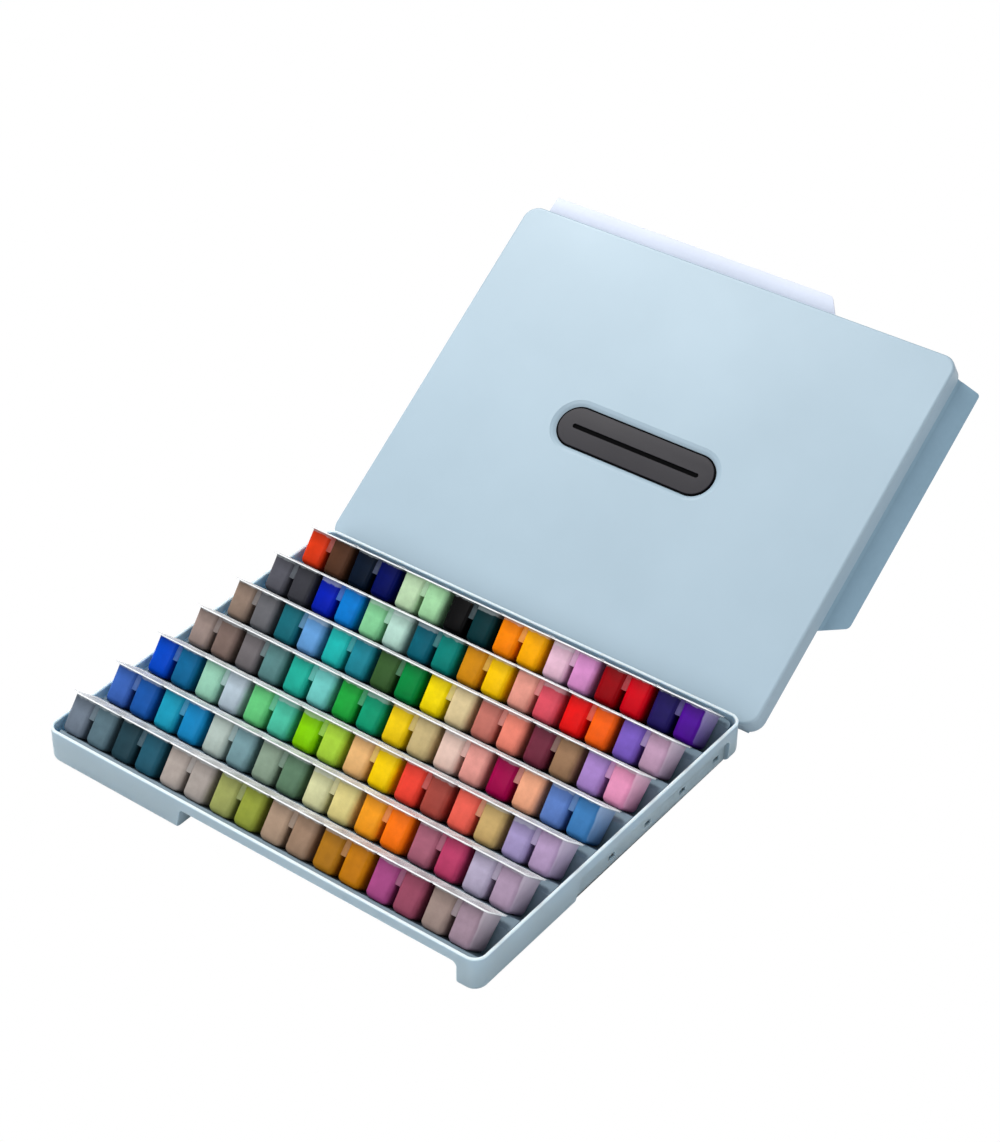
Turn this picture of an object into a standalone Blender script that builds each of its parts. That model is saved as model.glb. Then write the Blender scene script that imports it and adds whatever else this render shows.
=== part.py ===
"""A gouache paint set: a shallow case with seven leaning rows of filled cups, and its latched lid.

The lid is off the case and leans back behind it, its top face towards the user.
Metres, +Z up.  The origin is the middle of the case's underside, and +Y runs from front to back.
"""
import math

import bpy
import bmesh
from mathutils import Matrix, Vector

# Fits
GAP = 0.0003
OVERRUN = 0.002
CORNER_STEPS = 5
MERGE_DISTANCE = 0.00001
MERGE_ANGLE = math.radians(0.05)
SMOOTH_ANGLE = math.radians(35)

# Case
CASE_WIDTH = 0.372
CASE_DEPTH = 0.300
CASE_HEIGHT = 0.028
CASE_CORNER_RADIUS = 0.010
CASE_WALL = 0.0022
CASE_FLOOR = 0.0022
CASE_FOOT_RADIUS = 0.005
CASE_FOOT_STEPS = 3
RIM_EDGE = 0.0007

# Latch recesses under the case's rim band, each starting far from one corner and ending near the next
BAND_HEIGHT = 0.009
RECESS_WALL = 0.0018
RECESS_NEAR_MARGIN = 0.017
RECESS_FAR_MARGIN_LONG = 0.124
RECESS_FAR_MARGIN_SHORT = 0.108
RECESS_SLANT = 0.006
RECESS_ROUND = 0.004
RECESS_FOOT_ROUND = 0.001
RECESS_ROUND_STEPS = 3
SIDE_RECESS_DEPTH = 0.004
FRONT_RECESS_DEPTH = 0.0035
FRONT_RECESS_LEAN = math.radians(38)

# Drain notches in the side recesses, one at the foot of each trough
NOTCH_WIDTH = 0.007
NOTCH_HEIGHT = 0.004
NOTCH_SILL = 0.0048
NOTCH_OVERRUN = 0.0005

# Cups: two to a moulding, and the mouldings fill each row from one side of the case to the other
ROW_COUNT = 7
TWINS_PER_ROW = 8
ROW_LEAN = math.radians(43)
FIRST_CREST_INSET = 0.025
LAST_ROW_MARGIN = 0.00594
FOOT_ROOM = 0.00516
ROW_LEFT_INSET = 0.0044
ROW_RIGHT_INSET = 0.0116
CUP_SPACING = 0.0028
CUP_END_MARGIN = 0.00205
ROW_CLEARANCE = 0.00176
FLANGE_THICKNESS = 0.001
FLANGE_CORNER = 0.0025
CUP_FLANGE_MARGIN = 0.0012
CUP_DEPTH = 0.028
CUP_TAPER = 0.0008
CUP_TAPER_ACROSS = 0.001
CUP_CORNER = 0.0022
CUP_CORNER_STEPS = 1
CUP_FOOT_EDGE = 0.0018
MOUTH_INSET = 0.0017
WEB_OVERLAP = 0.0008
WEB_THICKNESS = 0.0009
WEB_HEIGHT = 0.0125
WEB_SETBACK = 0.0006
PAINT_HEADROOM = 0.0035
FILM_THICKNESS = 0.0003

# Bed: the saw-tooth insert that the rows lie in
BED_THICKNESS = 0.0012
BED_RIDGE_DROP = 0.0062
BED_EDGE_DROP = 0.0052
BED_FOOT_WIDTH = 0.003

# Lid
LID_OVERHANG_X = 0.005
LID_OVERHANG_Y = 0.0045
LID_HEIGHT = 0.016
LID_CORNER_RADIUS = 0.012
LID_WALL = 0.0021
LID_EDGE_RADIUS = 0.002
LID_EDGE_STEPS = 2
LID_TILT = math.radians(34.8)
LID_OFFSET_X = -0.002
LID_BACK_GAP = 0.0171
SEAT_RIB_THICKNESS = 0.0016
SEAT_CLEARANCE = 0.0001

# Grip plate in the lid's dish
PLATE_LENGTH = 0.138
PLATE_WIDTH = 0.034
PLATE_THICKNESS = 0.0013
PLATE_EDGE = 0.0004
DISH_DEPTH = 0.002
DISH_WALL = 0.001
DISH_SLOPE = 0.004
SLOT_END_MARGIN = 0.013
SLOT_WIDTH = 0.0024
SLOT_DEPTH = 0.0008
STADIUM_STEPS = 8

# Latch flaps on the lid's edge
FLAP_TIP = 0.0046
FLAP_THICKNESS = 0.0018
FLAP_WEB = 0.0009
FLAP_WEB_LENGTH = 0.0032
FLAP_BEAD_RADIUS = 0.00085
FLAP_BEAD_STEPS = 5
FLAP_DROP = 0.0012
FLAP_START_MARGIN = 0.008
FLAP_REACH_PAST_RECESS_LONG = 0.019
FLAP_REACH_PAST_RECESS_SHORT = 0.022
FLAP_START_ROUND = 0.0025
FLAP_END_ROUND = 0.006
FLAP_END_SLANT = 0.016
FLAP_ROUND_STEPS = 4
HOOK_REACH = 0.0025
HOOK_THICKNESS = 0.002
HOOK_CLEARANCE = 0.0002
HOOK_END_MARGIN = 0.004
FLAP_OPEN = math.radians(90)
FLAP_HALF_OPEN = math.radians(45)
FLAP_TUCKED = math.radians(-90)
TUCK_CLEARANCE = 0.0004
TUCK_MARGIN = 0.001

# Places worked out from the sizes above
RIM_Z = CASE_HEIGHT
BAND_Z = CASE_HEIGHT - BAND_HEIGHT
LEAN_SHARE = math.cos(ROW_LEAN)
ROW_PITCH = ((CASE_DEPTH - FIRST_CREST_INSET - LAST_ROW_MARGIN + ROW_CLEARANCE * LEAN_SHARE)
             / (ROW_COUNT - 1 + LEAN_SHARE ** 2))
ROW_LENGTH = CASE_WIDTH - ROW_LEFT_INSET - ROW_RIGHT_INSET
TWIN_LENGTH = ROW_LENGTH / TWINS_PER_ROW
FLANGE_DEPTH = ROW_PITCH * LEAN_SHARE - ROW_CLEARANCE
CUP_ACROSS = FLANGE_DEPTH - 2 * CUP_FLANGE_MARGIN
CUP_BACK = FLANGE_DEPTH - CUP_FLANGE_MARGIN + GAP
FOOT_Z = CASE_FLOOR + FOOT_ROOM
CREST_Z = (FOOT_Z + (CUP_DEPTH + GAP) * LEAN_SHARE
           + (CUP_BACK - CUP_TAPER_ACROSS) * math.sin(ROW_LEAN))
CREST_HEIGHT = CREST_Z - RIM_Z
CUP_WIDTH = (TWIN_LENGTH - CUP_SPACING) / 2 - CUP_END_MARGIN
CUP_PITCH = CUP_WIDTH + CUP_SPACING
ROW_CENTRE_X = ROW_LEFT_INSET + ROW_LENGTH / 2 - CASE_WIDTH / 2
LID_WIDTH = CASE_WIDTH + 2 * LID_OVERHANG_X
LID_DEPTH = CASE_DEPTH + 2 * LID_OVERHANG_Y
PIVOT_INSET = LID_WALL / 2
PIVOT_Y = CASE_DEPTH / 2 + LID_BACK_GAP
LID_TOP = FLAP_DROP + LID_HEIGHT
SEAT_Z = LID_TOP - DISH_DEPTH - DISH_WALL - CREST_HEIGHT - FILM_THICKNESS - GAP - SEAT_CLEARANCE
SEAT_INSET = LID_OVERHANG_X + GAP
SEAT_REACH = -SEAT_Z * math.cos(LID_TILT) - (SEAT_INSET - PIVOT_INSET) * math.sin(LID_TILT)
PIVOT_HEIGHT = GAP + max(SEAT_REACH, FLAP_BEAD_RADIUS)
SLOT_LENGTH = PLATE_LENGTH - 2 * SLOT_END_MARGIN
HOOK_START = BAND_HEIGHT - SEAT_Z + HOOK_CLEARANCE
FLAP_LENGTH = HOOK_START + HOOK_THICKNESS + FLAP_TIP
FLAP_END_MARGIN_LONG = RECESS_FAR_MARGIN_LONG - FLAP_REACH_PAST_RECESS_LONG
FLAP_END_MARGIN_SHORT = RECESS_FAR_MARGIN_SHORT - FLAP_REACH_PAST_RECESS_SHORT
FLAP_FLAT = LID_TILT - math.pi / 2
FLAP_SIDES = {"flap_far": (0, 1, 0), "flap_right": (1, 0, 0), "flap_near": (0, -1, 0), "flap_left": (-1, 0, 0)}


def clear_scene():
    """Removes every object that the scene starts with."""
    for item in list(bpy.data.objects):
        bpy.data.objects.remove(item)


def plastic(name, colour, roughness, alpha=1.0):
    """A moulded material with its colour, roughness and opacity."""
    material = bpy.data.materials.new(name)
    material.use_nodes = True
    shader = material.node_tree.nodes["Principled BSDF"]
    shader.inputs["Base Color"].default_value = (*colour, 1.0)
    shader.inputs["Roughness"].default_value = roughness
    shader.inputs["Metallic"].default_value = 0.0
    shader.inputs["Alpha"].default_value = alpha
    return material


def add_object(name, bm, material=None):
    """Turns a bmesh into an object with its faces turned outwards."""
    bmesh.ops.recalc_face_normals(bm, faces=bm.faces)
    mesh = bpy.data.meshes.new(name)
    bm.to_mesh(mesh)
    bm.free()
    item = bpy.data.objects.new(name, mesh)
    bpy.context.scene.collection.objects.link(item)
    if material is not None:
        mesh.materials.append(material)
    return item


def combine(target, tool, operation):
    """Applies one Boolean to the target and removes the tool."""
    modifier = target.modifiers.new("combine", "BOOLEAN")
    modifier.operation = operation
    modifier.solver = "EXACT"
    modifier.object = tool
    depsgraph = bpy.context.evaluated_depsgraph_get()
    mesh = bpy.data.meshes.new_from_object(target.evaluated_get(depsgraph))
    target.modifiers.clear()
    target.data = mesh
    bpy.data.objects.remove(tool)


def merge_flat(item):
    """Merges the flat faces that Booleans leave in pieces."""
    bm = bmesh.new()
    bm.from_mesh(item.data)
    bmesh.ops.remove_doubles(bm, verts=bm.verts, dist=MERGE_DISTANCE)
    bmesh.ops.dissolve_limit(bm, angle_limit=MERGE_ANGLE, verts=bm.verts, edges=bm.edges)
    bm.to_mesh(item.data)
    bm.free()


def smooth(item):
    """Shades round stretches smooth and keeps the edges crisp."""
    item.data.shade_smooth()
    item.data.set_sharp_from_angle(angle=SMOOTH_ANGLE)


def rounded(corners, radii, steps):
    """The outline of a polygon whose corners are arcs, as 2-D points in order."""
    points = []
    count = len(corners)
    for index, corner in enumerate(corners):
        corner = Vector(corner)
        if not radii[index]:
            points.append(corner)
            continue
        before = (Vector(corners[index - 1]) - corner).normalized()
        after = (Vector(corners[(index + 1) % count]) - corner).normalized()
        half = before.angle(after) / 2
        reach = radii[index] / math.tan(half)
        centre = corner + (before + after).normalized() * (radii[index] / math.sin(half))
        start = corner + before * reach - centre
        end = corner + after * reach - centre
        first = math.atan2(start.y, start.x)
        sweep = math.remainder(math.atan2(end.y, end.x) - first, math.tau)
        for step in range(steps + 1):
            angle = first + sweep * step / steps
            points.append(centre + radii[index] * Vector((math.cos(angle), math.sin(angle))))
    return points


def rounded_rectangle(width, depth, radius, steps=CORNER_STEPS):
    """A rectangle about the origin with round corners, counter-clockwise."""
    x, y = width / 2, depth / 2
    return rounded([(-x, -y), (x, -y), (x, y), (-x, y)], [radius] * 4, steps)


def stadium(length, width, steps=STADIUM_STEPS):
    """Two half circles joined by straight sides."""
    x, radius = (length - width) / 2, width / 2
    points = []
    for side in (1, -1):
        for step in range(steps + 1):
            angle = math.pi * step / steps - math.pi / 2
            points.append(side * Vector((x + radius * math.cos(angle), radius * math.sin(angle))))
    return points


def loft(rings):
    """A closed body through rings of equal point counts, each given as (outline, z)."""
    bm = bmesh.new()
    rows = [[bm.verts.new((*point, z)) for point in outline] for outline, z in rings]
    count = len(rows[0])
    for lower, upper in zip(rows, rows[1:]):
        for index in range(count):
            after = (index + 1) % count
            bm.faces.new((lower[index], lower[after], upper[after], upper[index]))
    bm.faces.new(reversed(rows[0]))
    bm.faces.new(rows[-1])
    return bm


def prism(outline, low, high):
    """An outline extruded straight up from one height to another."""
    return loft([(outline, low), (outline, high)])


def turned(bm, matrix):
    """The same bmesh, moved by a matrix."""
    bmesh.ops.transform(bm, matrix=matrix, verts=bm.verts)
    return bm


def frame_matrix(x_axis, y_axis, z_axis, origin=(0, 0, 0)):
    """A matrix whose columns are three axes and an origin."""
    matrix = Matrix((x_axis, y_axis, z_axis)).transposed().to_4x4()
    matrix.translation = origin
    return matrix


def recess_body(name, side, grow):
    """One latch recess as a solid, or grown by a wall so that the cavity keeps clear of it.

    It is drawn along +X with its depth along +Y, as on the front, and then turned to its side.
    """
    is_long = side % 2 == 0
    along = CASE_WIDTH if is_long else CASE_DEPTH
    inward = CASE_DEPTH / 2 if is_long else CASE_WIDTH / 2
    far_margin = RECESS_FAR_MARGIN_LONG if is_long else RECESS_FAR_MARGIN_SHORT
    depth = FRONT_RECESS_DEPTH if is_long else SIDE_RECESS_DEPTH
    lean = FRONT_RECESS_LEAN if is_long else 0.0
    start = -along / 2 + far_margin - grow
    end = along / 2 - RECESS_NEAR_MARGIN + grow
    top = BAND_Z + grow
    foot = -OVERRUN
    run = (top - foot) * math.tan(lean)
    back = depth + grow / math.cos(lean) - grow * math.tan(lean)
    section = [(-OVERRUN, foot), (back + run, foot), (back, top), (-OVERRUN, top)]
    body = prism([Vector(point) for point in section], start - RECESS_SLANT, end + RECESS_SLANT)
    turned(body, frame_matrix((0, 1, 0), (0, 0, 1), (1, 0, 0)))
    solid = add_object(name, body)
    face = [(start - RECESS_SLANT, foot), (end, foot), (end, top), (start, top)]
    radii = [RECESS_FOOT_ROUND, RECESS_FOOT_ROUND, RECESS_ROUND, RECESS_ROUND]
    outline = rounded(face, radii, RECESS_ROUND_STEPS)
    mask = prism(outline, -back - run - OVERRUN, 2 * OVERRUN)
    turned(mask, frame_matrix((1, 0, 0), (0, 0, 1), (0, -1, 0)))
    combine(solid, add_object("mask", mask), "INTERSECT")
    place = Matrix.Rotation(side * math.pi / 2, 4, "Z") @ Matrix.Translation((0, -inward, 0))
    solid.data.transform(place)
    return solid


def crest(row):
    """The y and z of a row's crest, the front edge of its flanges' top."""
    y = -CASE_DEPTH / 2 + FIRST_CREST_INSET + row * ROW_PITCH
    return y, CREST_Z


def row_matrix(row):
    """Local X runs along the row, Y down the flange towards the back, Z out of the cups."""
    y, z = crest(row)
    return Matrix.Translation((ROW_CENTRE_X, y, z)) @ Matrix.Rotation(-ROW_LEAN, 4, "X")


def trough_point(row, across, deep):
    """The y and z of a point given across a row's flange and down its cups."""
    point = row_matrix(row) @ Vector((0, across, -deep))
    return point.y, point.z


def case_shell(material):
    """The outer case: round corners, a rim band, four latch recesses and a flat floor."""
    rings = []
    for step in range(CASE_FOOT_STEPS + 1):
        angle = math.pi / 2 * step / CASE_FOOT_STEPS
        inset = CASE_FOOT_RADIUS * (1 - math.sin(angle))
        rings.append((inset, CASE_FOOT_RADIUS * (1 - math.cos(angle))))
    rings += [(0, RIM_Z - RIM_EDGE), (RIM_EDGE, RIM_Z)]
    outer = loft([(rounded_rectangle(CASE_WIDTH - 2 * inset, CASE_DEPTH - 2 * inset,
                                     CASE_CORNER_RADIUS - inset), z) for inset, z in rings])
    case = add_object("case_shell", outer, material)
    inner = rounded_rectangle(CASE_WIDTH - 2 * CASE_WALL, CASE_DEPTH - 2 * CASE_WALL,
                              CASE_CORNER_RADIUS - CASE_WALL)
    cavity = add_object("cavity", prism(inner, CASE_FLOOR, RIM_Z + OVERRUN))
    for side in range(4):
        combine(cavity, recess_body("grown_recess", side, RECESS_WALL), "DIFFERENCE")
        combine(case, recess_body("recess", side, 0.0), "DIFFERENCE")
    combine(case, cavity, "DIFFERENCE")
    for notch in notches():
        combine(case, notch, "DIFFERENCE")
    merge_flat(case)
    smooth(case)
    return case


def notches():
    """Through notches in both side recesses, at the troughs that lie between a recess's ends."""
    wall_outer = CASE_WIDTH / 2 - SIDE_RECESS_DEPTH
    near = CASE_DEPTH / 2 - RECESS_NEAR_MARGIN - NOTCH_WIDTH
    far = CASE_DEPTH / 2 - RECESS_FAR_MARGIN_SHORT - NOTCH_WIDTH
    for row in range(ROW_COUNT):
        y, _ = trough_point(row, CUP_ACROSS, CUP_DEPTH)
        for side, low, high in ((1, -far, near), (-1, -near, far)):
            if low < y < high:
                outline = [Vector((y - NOTCH_WIDTH / 2, NOTCH_SILL)),
                           Vector((y + NOTCH_WIDTH / 2, NOTCH_SILL)),
                           Vector((y + NOTCH_WIDTH / 2, NOTCH_SILL + NOTCH_HEIGHT)),
                           Vector((y - NOTCH_WIDTH / 2, NOTCH_SILL + NOTCH_HEIGHT))]
                start = wall_outer - RECESS_WALL - NOTCH_OVERRUN
                body = prism(outline, start, wall_outer + NOTCH_OVERRUN)
                turned(body, frame_matrix((0, 1, 0), (0, 0, 1), (1, 0, 0)))
                if side < 0:
                    turned(body, Matrix.Scale(-1, 4, (1, 0, 0)))
                yield add_object("notch", body)


def y_at(start, end, z):
    """Where the line through two (y, z) points reaches a height."""
    return start[0] + (z - start[1]) / (end[1] - start[1]) * (end[0] - start[0])


def z_at(start, end, y):
    """How high the line through two (y, z) points is at a depth into the case."""
    return start[1] + (y - start[0]) / (end[0] - start[0]) * (end[1] - start[1])


def bed_profile():
    """The saw-tooth section of the bed: its top line from front to back, then its underside."""
    half = CASE_DEPTH / 2
    ridge, edge = RIM_Z - BED_RIDGE_DROP, RIM_Z - BED_EDGE_DROP
    drop = BED_THICKNESS / math.cos(ROW_LEAN)
    top, under = [(-half, edge)], [(-half, edge - drop)]
    for row in range(ROW_COUNT):
        front_z = edge if row == 0 else ridge
        back_z = edge if row == ROW_COUNT - 1 else ridge
        foot_front = trough_point(row, 0, CUP_DEPTH + GAP)
        foot = trough_point(row, CUP_BACK - CUP_TAPER_ACROSS, CUP_DEPTH + GAP)
        crown = trough_point(row, CUP_BACK, FLANGE_THICKNESS)
        front = (y_at(foot_front, foot, front_z), front_z)
        back = (y_at(foot, crown, back_z), back_z)
        top += [front, foot, back]
        bends = []
        for slope_end, offset in ((front, -BED_FOOT_WIDTH), (back, BED_FOOT_WIDTH)):
            bends.append((foot[0] + offset, z_at(foot, slope_end, foot[0] + offset) - drop))
        keels = [(foot[0] + offset, CASE_FLOOR + GAP) for offset in (-BED_FOOT_WIDTH / 2, BED_FOOT_WIDTH / 2)]
        under += [(front[0], front_z - drop), bends[0], *keels, bends[1], (back[0], back_z - drop)]
    top.append((half, edge))
    under.append((half, edge - drop))
    return [Vector(point) for point in top + under[::-1]]


def cup_bed(material):
    """The insert whose troughs carry the cups' feet and backs, rounded to fit the case's corners."""
    half_width = CASE_WIDTH / 2 - SIDE_RECESS_DEPTH - RECESS_WALL - GAP
    inset = CASE_WALL + GAP
    body = prism(bed_profile(), -CASE_WIDTH / 2, CASE_WIDTH / 2)
    turned(body, frame_matrix((0, 1, 0), (0, 0, 1), (1, 0, 0)))
    bed = add_object("cup_bed", body, material)
    outline = rounded_rectangle(2 * half_width, CASE_DEPTH - 2 * inset, CASE_CORNER_RADIUS - inset)
    combine(bed, add_object("outline", prism(outline, 0, CASE_HEIGHT)), "INTERSECT")
    return bed


def flange_outline():
    """A row of flanges side by side, with a notch where the cut corners of two neighbours meet."""
    first = -ROW_LENGTH / 2
    front = []
    for index in range(TWINS_PER_ROW):
        left = first + index * TWIN_LENGTH
        right = left + TWIN_LENGTH
        front += [(left, FLANGE_CORNER), (left + FLANGE_CORNER, 0), (right - FLANGE_CORNER, 0)]
    front.append((right, FLANGE_CORNER))
    back = [(x, FLANGE_DEPTH - y) for x, y in reversed(front)]
    return [Vector(point) for point in front + back]


def twin_centres():
    """Where the middle of each moulding lies along its row."""
    return [(index + 0.5) * TWIN_LENGTH - ROW_LENGTH / 2 for index in range(TWINS_PER_ROW)]


def gathered(name, bodies):
    """Several closed bodies, clear of each other, as one tool for a Boolean."""
    bm = bmesh.new()
    for body in bodies:
        mesh = bpy.data.meshes.new(name)
        body.to_mesh(mesh)
        body.free()
        bm.from_mesh(mesh)
        bpy.data.meshes.remove(mesh)
    return add_object(name, bm)


def cup_level(centre_x, deep, shrink=0.0):
    """The outline of one cup at a depth below the flange, drawn in all round by an amount."""
    share = deep / CUP_DEPTH
    width = CUP_WIDTH - 2 * CUP_TAPER * share - 2 * shrink
    across = CUP_ACROSS - 2 * CUP_TAPER_ACROSS * share - 2 * shrink
    middle = Vector((centre_x, FLANGE_DEPTH / 2))
    outline = rounded_rectangle(width, across, CUP_CORNER - shrink / 2, CUP_CORNER_STEPS)
    return [point + middle for point in outline], -deep


def cup_body(centre_x):
    """One tapered cup with a rounded foot, down to its full depth."""
    return loft([cup_level(centre_x, CUP_DEPTH, CUP_FOOT_EDGE),
                 cup_level(centre_x, CUP_DEPTH - CUP_FOOT_EDGE),
                 cup_level(centre_x, FLANGE_THICKNESS / 2)])


def cup_mouth(centre_x):
    """The square space above the paint in one cup."""
    middle = Vector((centre_x, FLANGE_DEPTH / 2))
    outline = rounded_rectangle(CUP_WIDTH - 2 * MOUTH_INSET, CUP_ACROSS - 2 * MOUTH_INSET, 0)
    return prism([point + middle for point in outline], -PAINT_HEADROOM, OVERRUN)


def web_body(centre_x):
    """The tab that joins a moulding's two cups below the flange, near their front."""
    y = (FLANGE_DEPTH - CUP_ACROSS) / 2 + CUP_CORNER + WEB_SETBACK
    x = (CUP_PITCH - CUP_WIDTH) / 2 + WEB_OVERLAP
    outline = [(-x, y), (x, y), (x, y + WEB_THICKNESS), (-x, y + WEB_THICKNESS)]
    return prism([Vector(point) + Vector((centre_x, 0)) for point in outline],
                 -WEB_HEIGHT, -FLANGE_THICKNESS / 2)


def cups_mesh():
    """A row's cups with their flanges, webs and paint, as one closed mesh."""
    cups = [centre + side * CUP_PITCH / 2 for centre in twin_centres() for side in (-1, 1)]
    row = add_object("row", prism(flange_outline(), -FLANGE_THICKNESS, 0))
    combine(row, gathered("bodies", [cup_body(x) for x in cups]), "UNION")
    combine(row, gathered("webs", [web_body(x) for x in twin_centres()]), "UNION")
    combine(row, gathered("mouths", [cup_mouth(x) for x in cups]), "DIFFERENCE")
    merge_flat(row)
    mesh = row.data
    bpy.data.objects.remove(row)
    return mesh


def film_mesh():
    """The peel-off films over a row, with the flanges' own outline."""
    film = add_object("film", prism(flange_outline(), GAP, GAP + FILM_THICKNESS))
    mesh = film.data
    bpy.data.objects.remove(film)
    return mesh


def cup_rows():
    """Seven rows, which lift out along the cups' own lean."""
    hues = [(0.20, 0.30, 0.34), (0.08, 0.35, 0.60), (0.10, 0.45, 0.55), (0.40, 0.36, 0.32),
            (0.35, 0.33, 0.30), (0.12, 0.25, 0.55), (0.55, 0.12, 0.08)]
    foil = plastic("film_plastic", (0.86, 0.88, 0.90), 0.25, 0.6)
    cups, films = cups_mesh(), film_mesh()
    for row in range(ROW_COUNT):
        number = row + 1
        paint = plastic(f"paint_{number}", hues[row], 0.4)
        for name, mesh, material in ((f"cups_row_{number}", cups, paint), (f"film_row_{number}", films, foil)):
            item = bpy.data.objects.new(name, mesh.copy())
            bpy.context.scene.collection.objects.link(item)
            item.data.materials.clear()
            item.data.materials.append(material)
            item.matrix_world = row_matrix(row)


def lid_ring(inset, height):
    """One level of the lid, inset from its outer wall; local Y starts at the tilt line."""
    outline = rounded_rectangle(LID_WIDTH - 2 * inset, LID_DEPTH - 2 * inset, LID_CORNER_RADIUS - inset)
    middle = Vector((0, LID_DEPTH / 2 - PIVOT_INSET))
    return [point + middle for point in outline], height


def lid_shell(material):
    """The lid: a shallow cap with a seat rib inside its skirt and a dish for the grip plate."""
    ceiling = LID_TOP - LID_WALL
    rib_inner = SEAT_INSET + SEAT_RIB_THICKNESS
    rings = [lid_ring(rib_inner, ceiling), lid_ring(rib_inner, SEAT_Z), lid_ring(SEAT_INSET, SEAT_Z),
             lid_ring(SEAT_INSET, ceiling), lid_ring(LID_WALL, ceiling), lid_ring(LID_WALL, FLAP_DROP),
             lid_ring(0, FLAP_DROP)]
    for step in range(LID_EDGE_STEPS + 1):
        angle = math.pi / 2 * step / LID_EDGE_STEPS
        rings.append(lid_ring(LID_EDGE_RADIUS * (1 - math.cos(angle)),
                              LID_TOP - LID_EDGE_RADIUS * (1 - math.sin(angle))))
    lid = add_object("lid_shell", loft(rings), material)
    middle = Vector((0, LID_DEPTH / 2 - PIVOT_INSET))

    def dish(grow, height):
        outline = stadium(PLATE_LENGTH + 2 * grow, PLATE_WIDTH + 2 * grow)
        return [point + middle for point in outline], height

    floor = LID_TOP - DISH_DEPTH
    boss = loft([dish(GAP + LID_WALL, floor - DISH_WALL),
                 dish(GAP + LID_WALL + DISH_SLOPE, ceiling + LID_WALL / 2)])
    combine(lid, add_object("boss", boss), "UNION")
    hollow = loft([dish(GAP, floor), dish(GAP + DISH_SLOPE, LID_TOP),
                   dish(GAP + DISH_SLOPE, LID_TOP + OVERRUN)])
    combine(lid, add_object("dish", hollow), "DIFFERENCE")
    for out_axis in FLAP_SIDES.values():
        combine(lid, tuck_window(Vector(out_axis)), "DIFFERENCE")
    merge_flat(lid)
    smooth(lid)
    return lid


def grip_plate(material):
    """The dark stadium plate in the dish, with a long slot across its face."""
    middle = Vector((0, LID_DEPTH / 2 - PIVOT_INSET))
    floor = LID_TOP - DISH_DEPTH + GAP

    def level(inset, height):
        outline = stadium(PLATE_LENGTH - 2 * inset, PLATE_WIDTH - 2 * inset)
        return [point + middle for point in outline], floor + height

    plate = add_object("grip_plate", loft([level(0, 0), level(0, PLATE_THICKNESS - PLATE_EDGE),
                                           level(PLATE_EDGE, PLATE_THICKNESS)]), material)
    outline = [point + middle for point in stadium(SLOT_LENGTH, SLOT_WIDTH, STADIUM_STEPS // 2)]
    top = floor + PLATE_THICKNESS
    combine(plate, add_object("slot", prism(outline, top - SLOT_DEPTH, top + OVERRUN)), "DIFFERENCE")
    smooth(plate)
    return plate


def flap_span(out):
    """Where a flap starts along its side of the lid and how long it is, with the side's own sizes."""
    if out.x:
        return FLAP_START_MARGIN, LID_DEPTH - FLAP_START_MARGIN - FLAP_END_MARGIN_SHORT
    return FLAP_START_MARGIN, LID_WIDTH - FLAP_START_MARGIN - FLAP_END_MARGIN_LONG


def hinge_matrix(out):
    """A closed flap's place in the lid: X along its hinge line, Y down the flap and Z outwards."""
    span, reach = (LID_DEPTH, LID_WIDTH) if out.x else (LID_WIDTH, LID_DEPTH)
    start, _ = flap_span(out)
    down = Vector((0, 0, -1))
    along = down.cross(out)
    centre = Vector((0, LID_DEPTH / 2 - PIVOT_INSET, 0))
    origin = centre + out * (reach / 2 - PIVOT_INSET) + along * (start - span / 2)
    return frame_matrix(along, down, out, origin)


def box(low, high):
    """A box between two corners, each given along X, Y and Z."""
    outline = [Vector((low[0], low[1])), Vector((high[0], low[1])),
               Vector((high[0], high[1])), Vector((low[0], high[1]))]
    return prism(outline, low[2], high[2])


def tuck_window(out):
    """The stretch where the seat rib stops short, so that the flap can fold in under the lid."""
    _, length = flap_span(out)
    top = -(FLAP_THICKNESS / 2 + TUCK_CLEARANCE)
    near = -(LID_WALL + SEAT_INSET) / 2 + PIVOT_INSET
    body = box((-TUCK_MARGIN, top, -FLAP_LENGTH - TUCK_MARGIN),
               (length + TUCK_MARGIN, OVERRUN - SEAT_Z, near))
    return add_object("window", turned(body, hinge_matrix(out)))


def flap_section(overhang):
    """The flap's section: a root bead, a thin hinge web, the plate and its hook."""
    half, web = FLAP_THICKNESS / 2, FLAP_WEB / 2
    hook_tip = -(overhang - PIVOT_INSET + HOOK_REACH)
    lift = math.asin(web / FLAP_BEAD_RADIUS)
    bead = []
    for step in range(FLAP_BEAD_STEPS + 1):
        angle = lift + (math.tau - 2 * lift) * step / FLAP_BEAD_STEPS
        bead.append((FLAP_BEAD_RADIUS * math.cos(angle), FLAP_BEAD_RADIUS * math.sin(angle)))
    end = FLAP_LENGTH + OVERRUN
    plate = [(FLAP_WEB_LENGTH, -web), (FLAP_WEB_LENGTH + half - web, -half),
             (HOOK_START, -half), (HOOK_START, hook_tip), (HOOK_START + HOOK_THICKNESS / 2, hook_tip),
             (HOOK_START + HOOK_THICKNESS, -half), (end, -half), (end, half),
             (FLAP_WEB_LENGTH + half - web, half), (FLAP_WEB_LENGTH, web)]
    return [Vector(point) for point in bead + plate]


def flap_outline(length):
    """The flap seen flat: a small round at its start, a slant and a large round at its end."""
    corners = [(0, -OVERRUN), (length, -OVERRUN), (length - FLAP_END_SLANT, FLAP_LENGTH), (0, FLAP_LENGTH)]
    return rounded(corners, [0, 0, FLAP_END_ROUND, FLAP_START_ROUND], FLAP_ROUND_STEPS)


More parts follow.
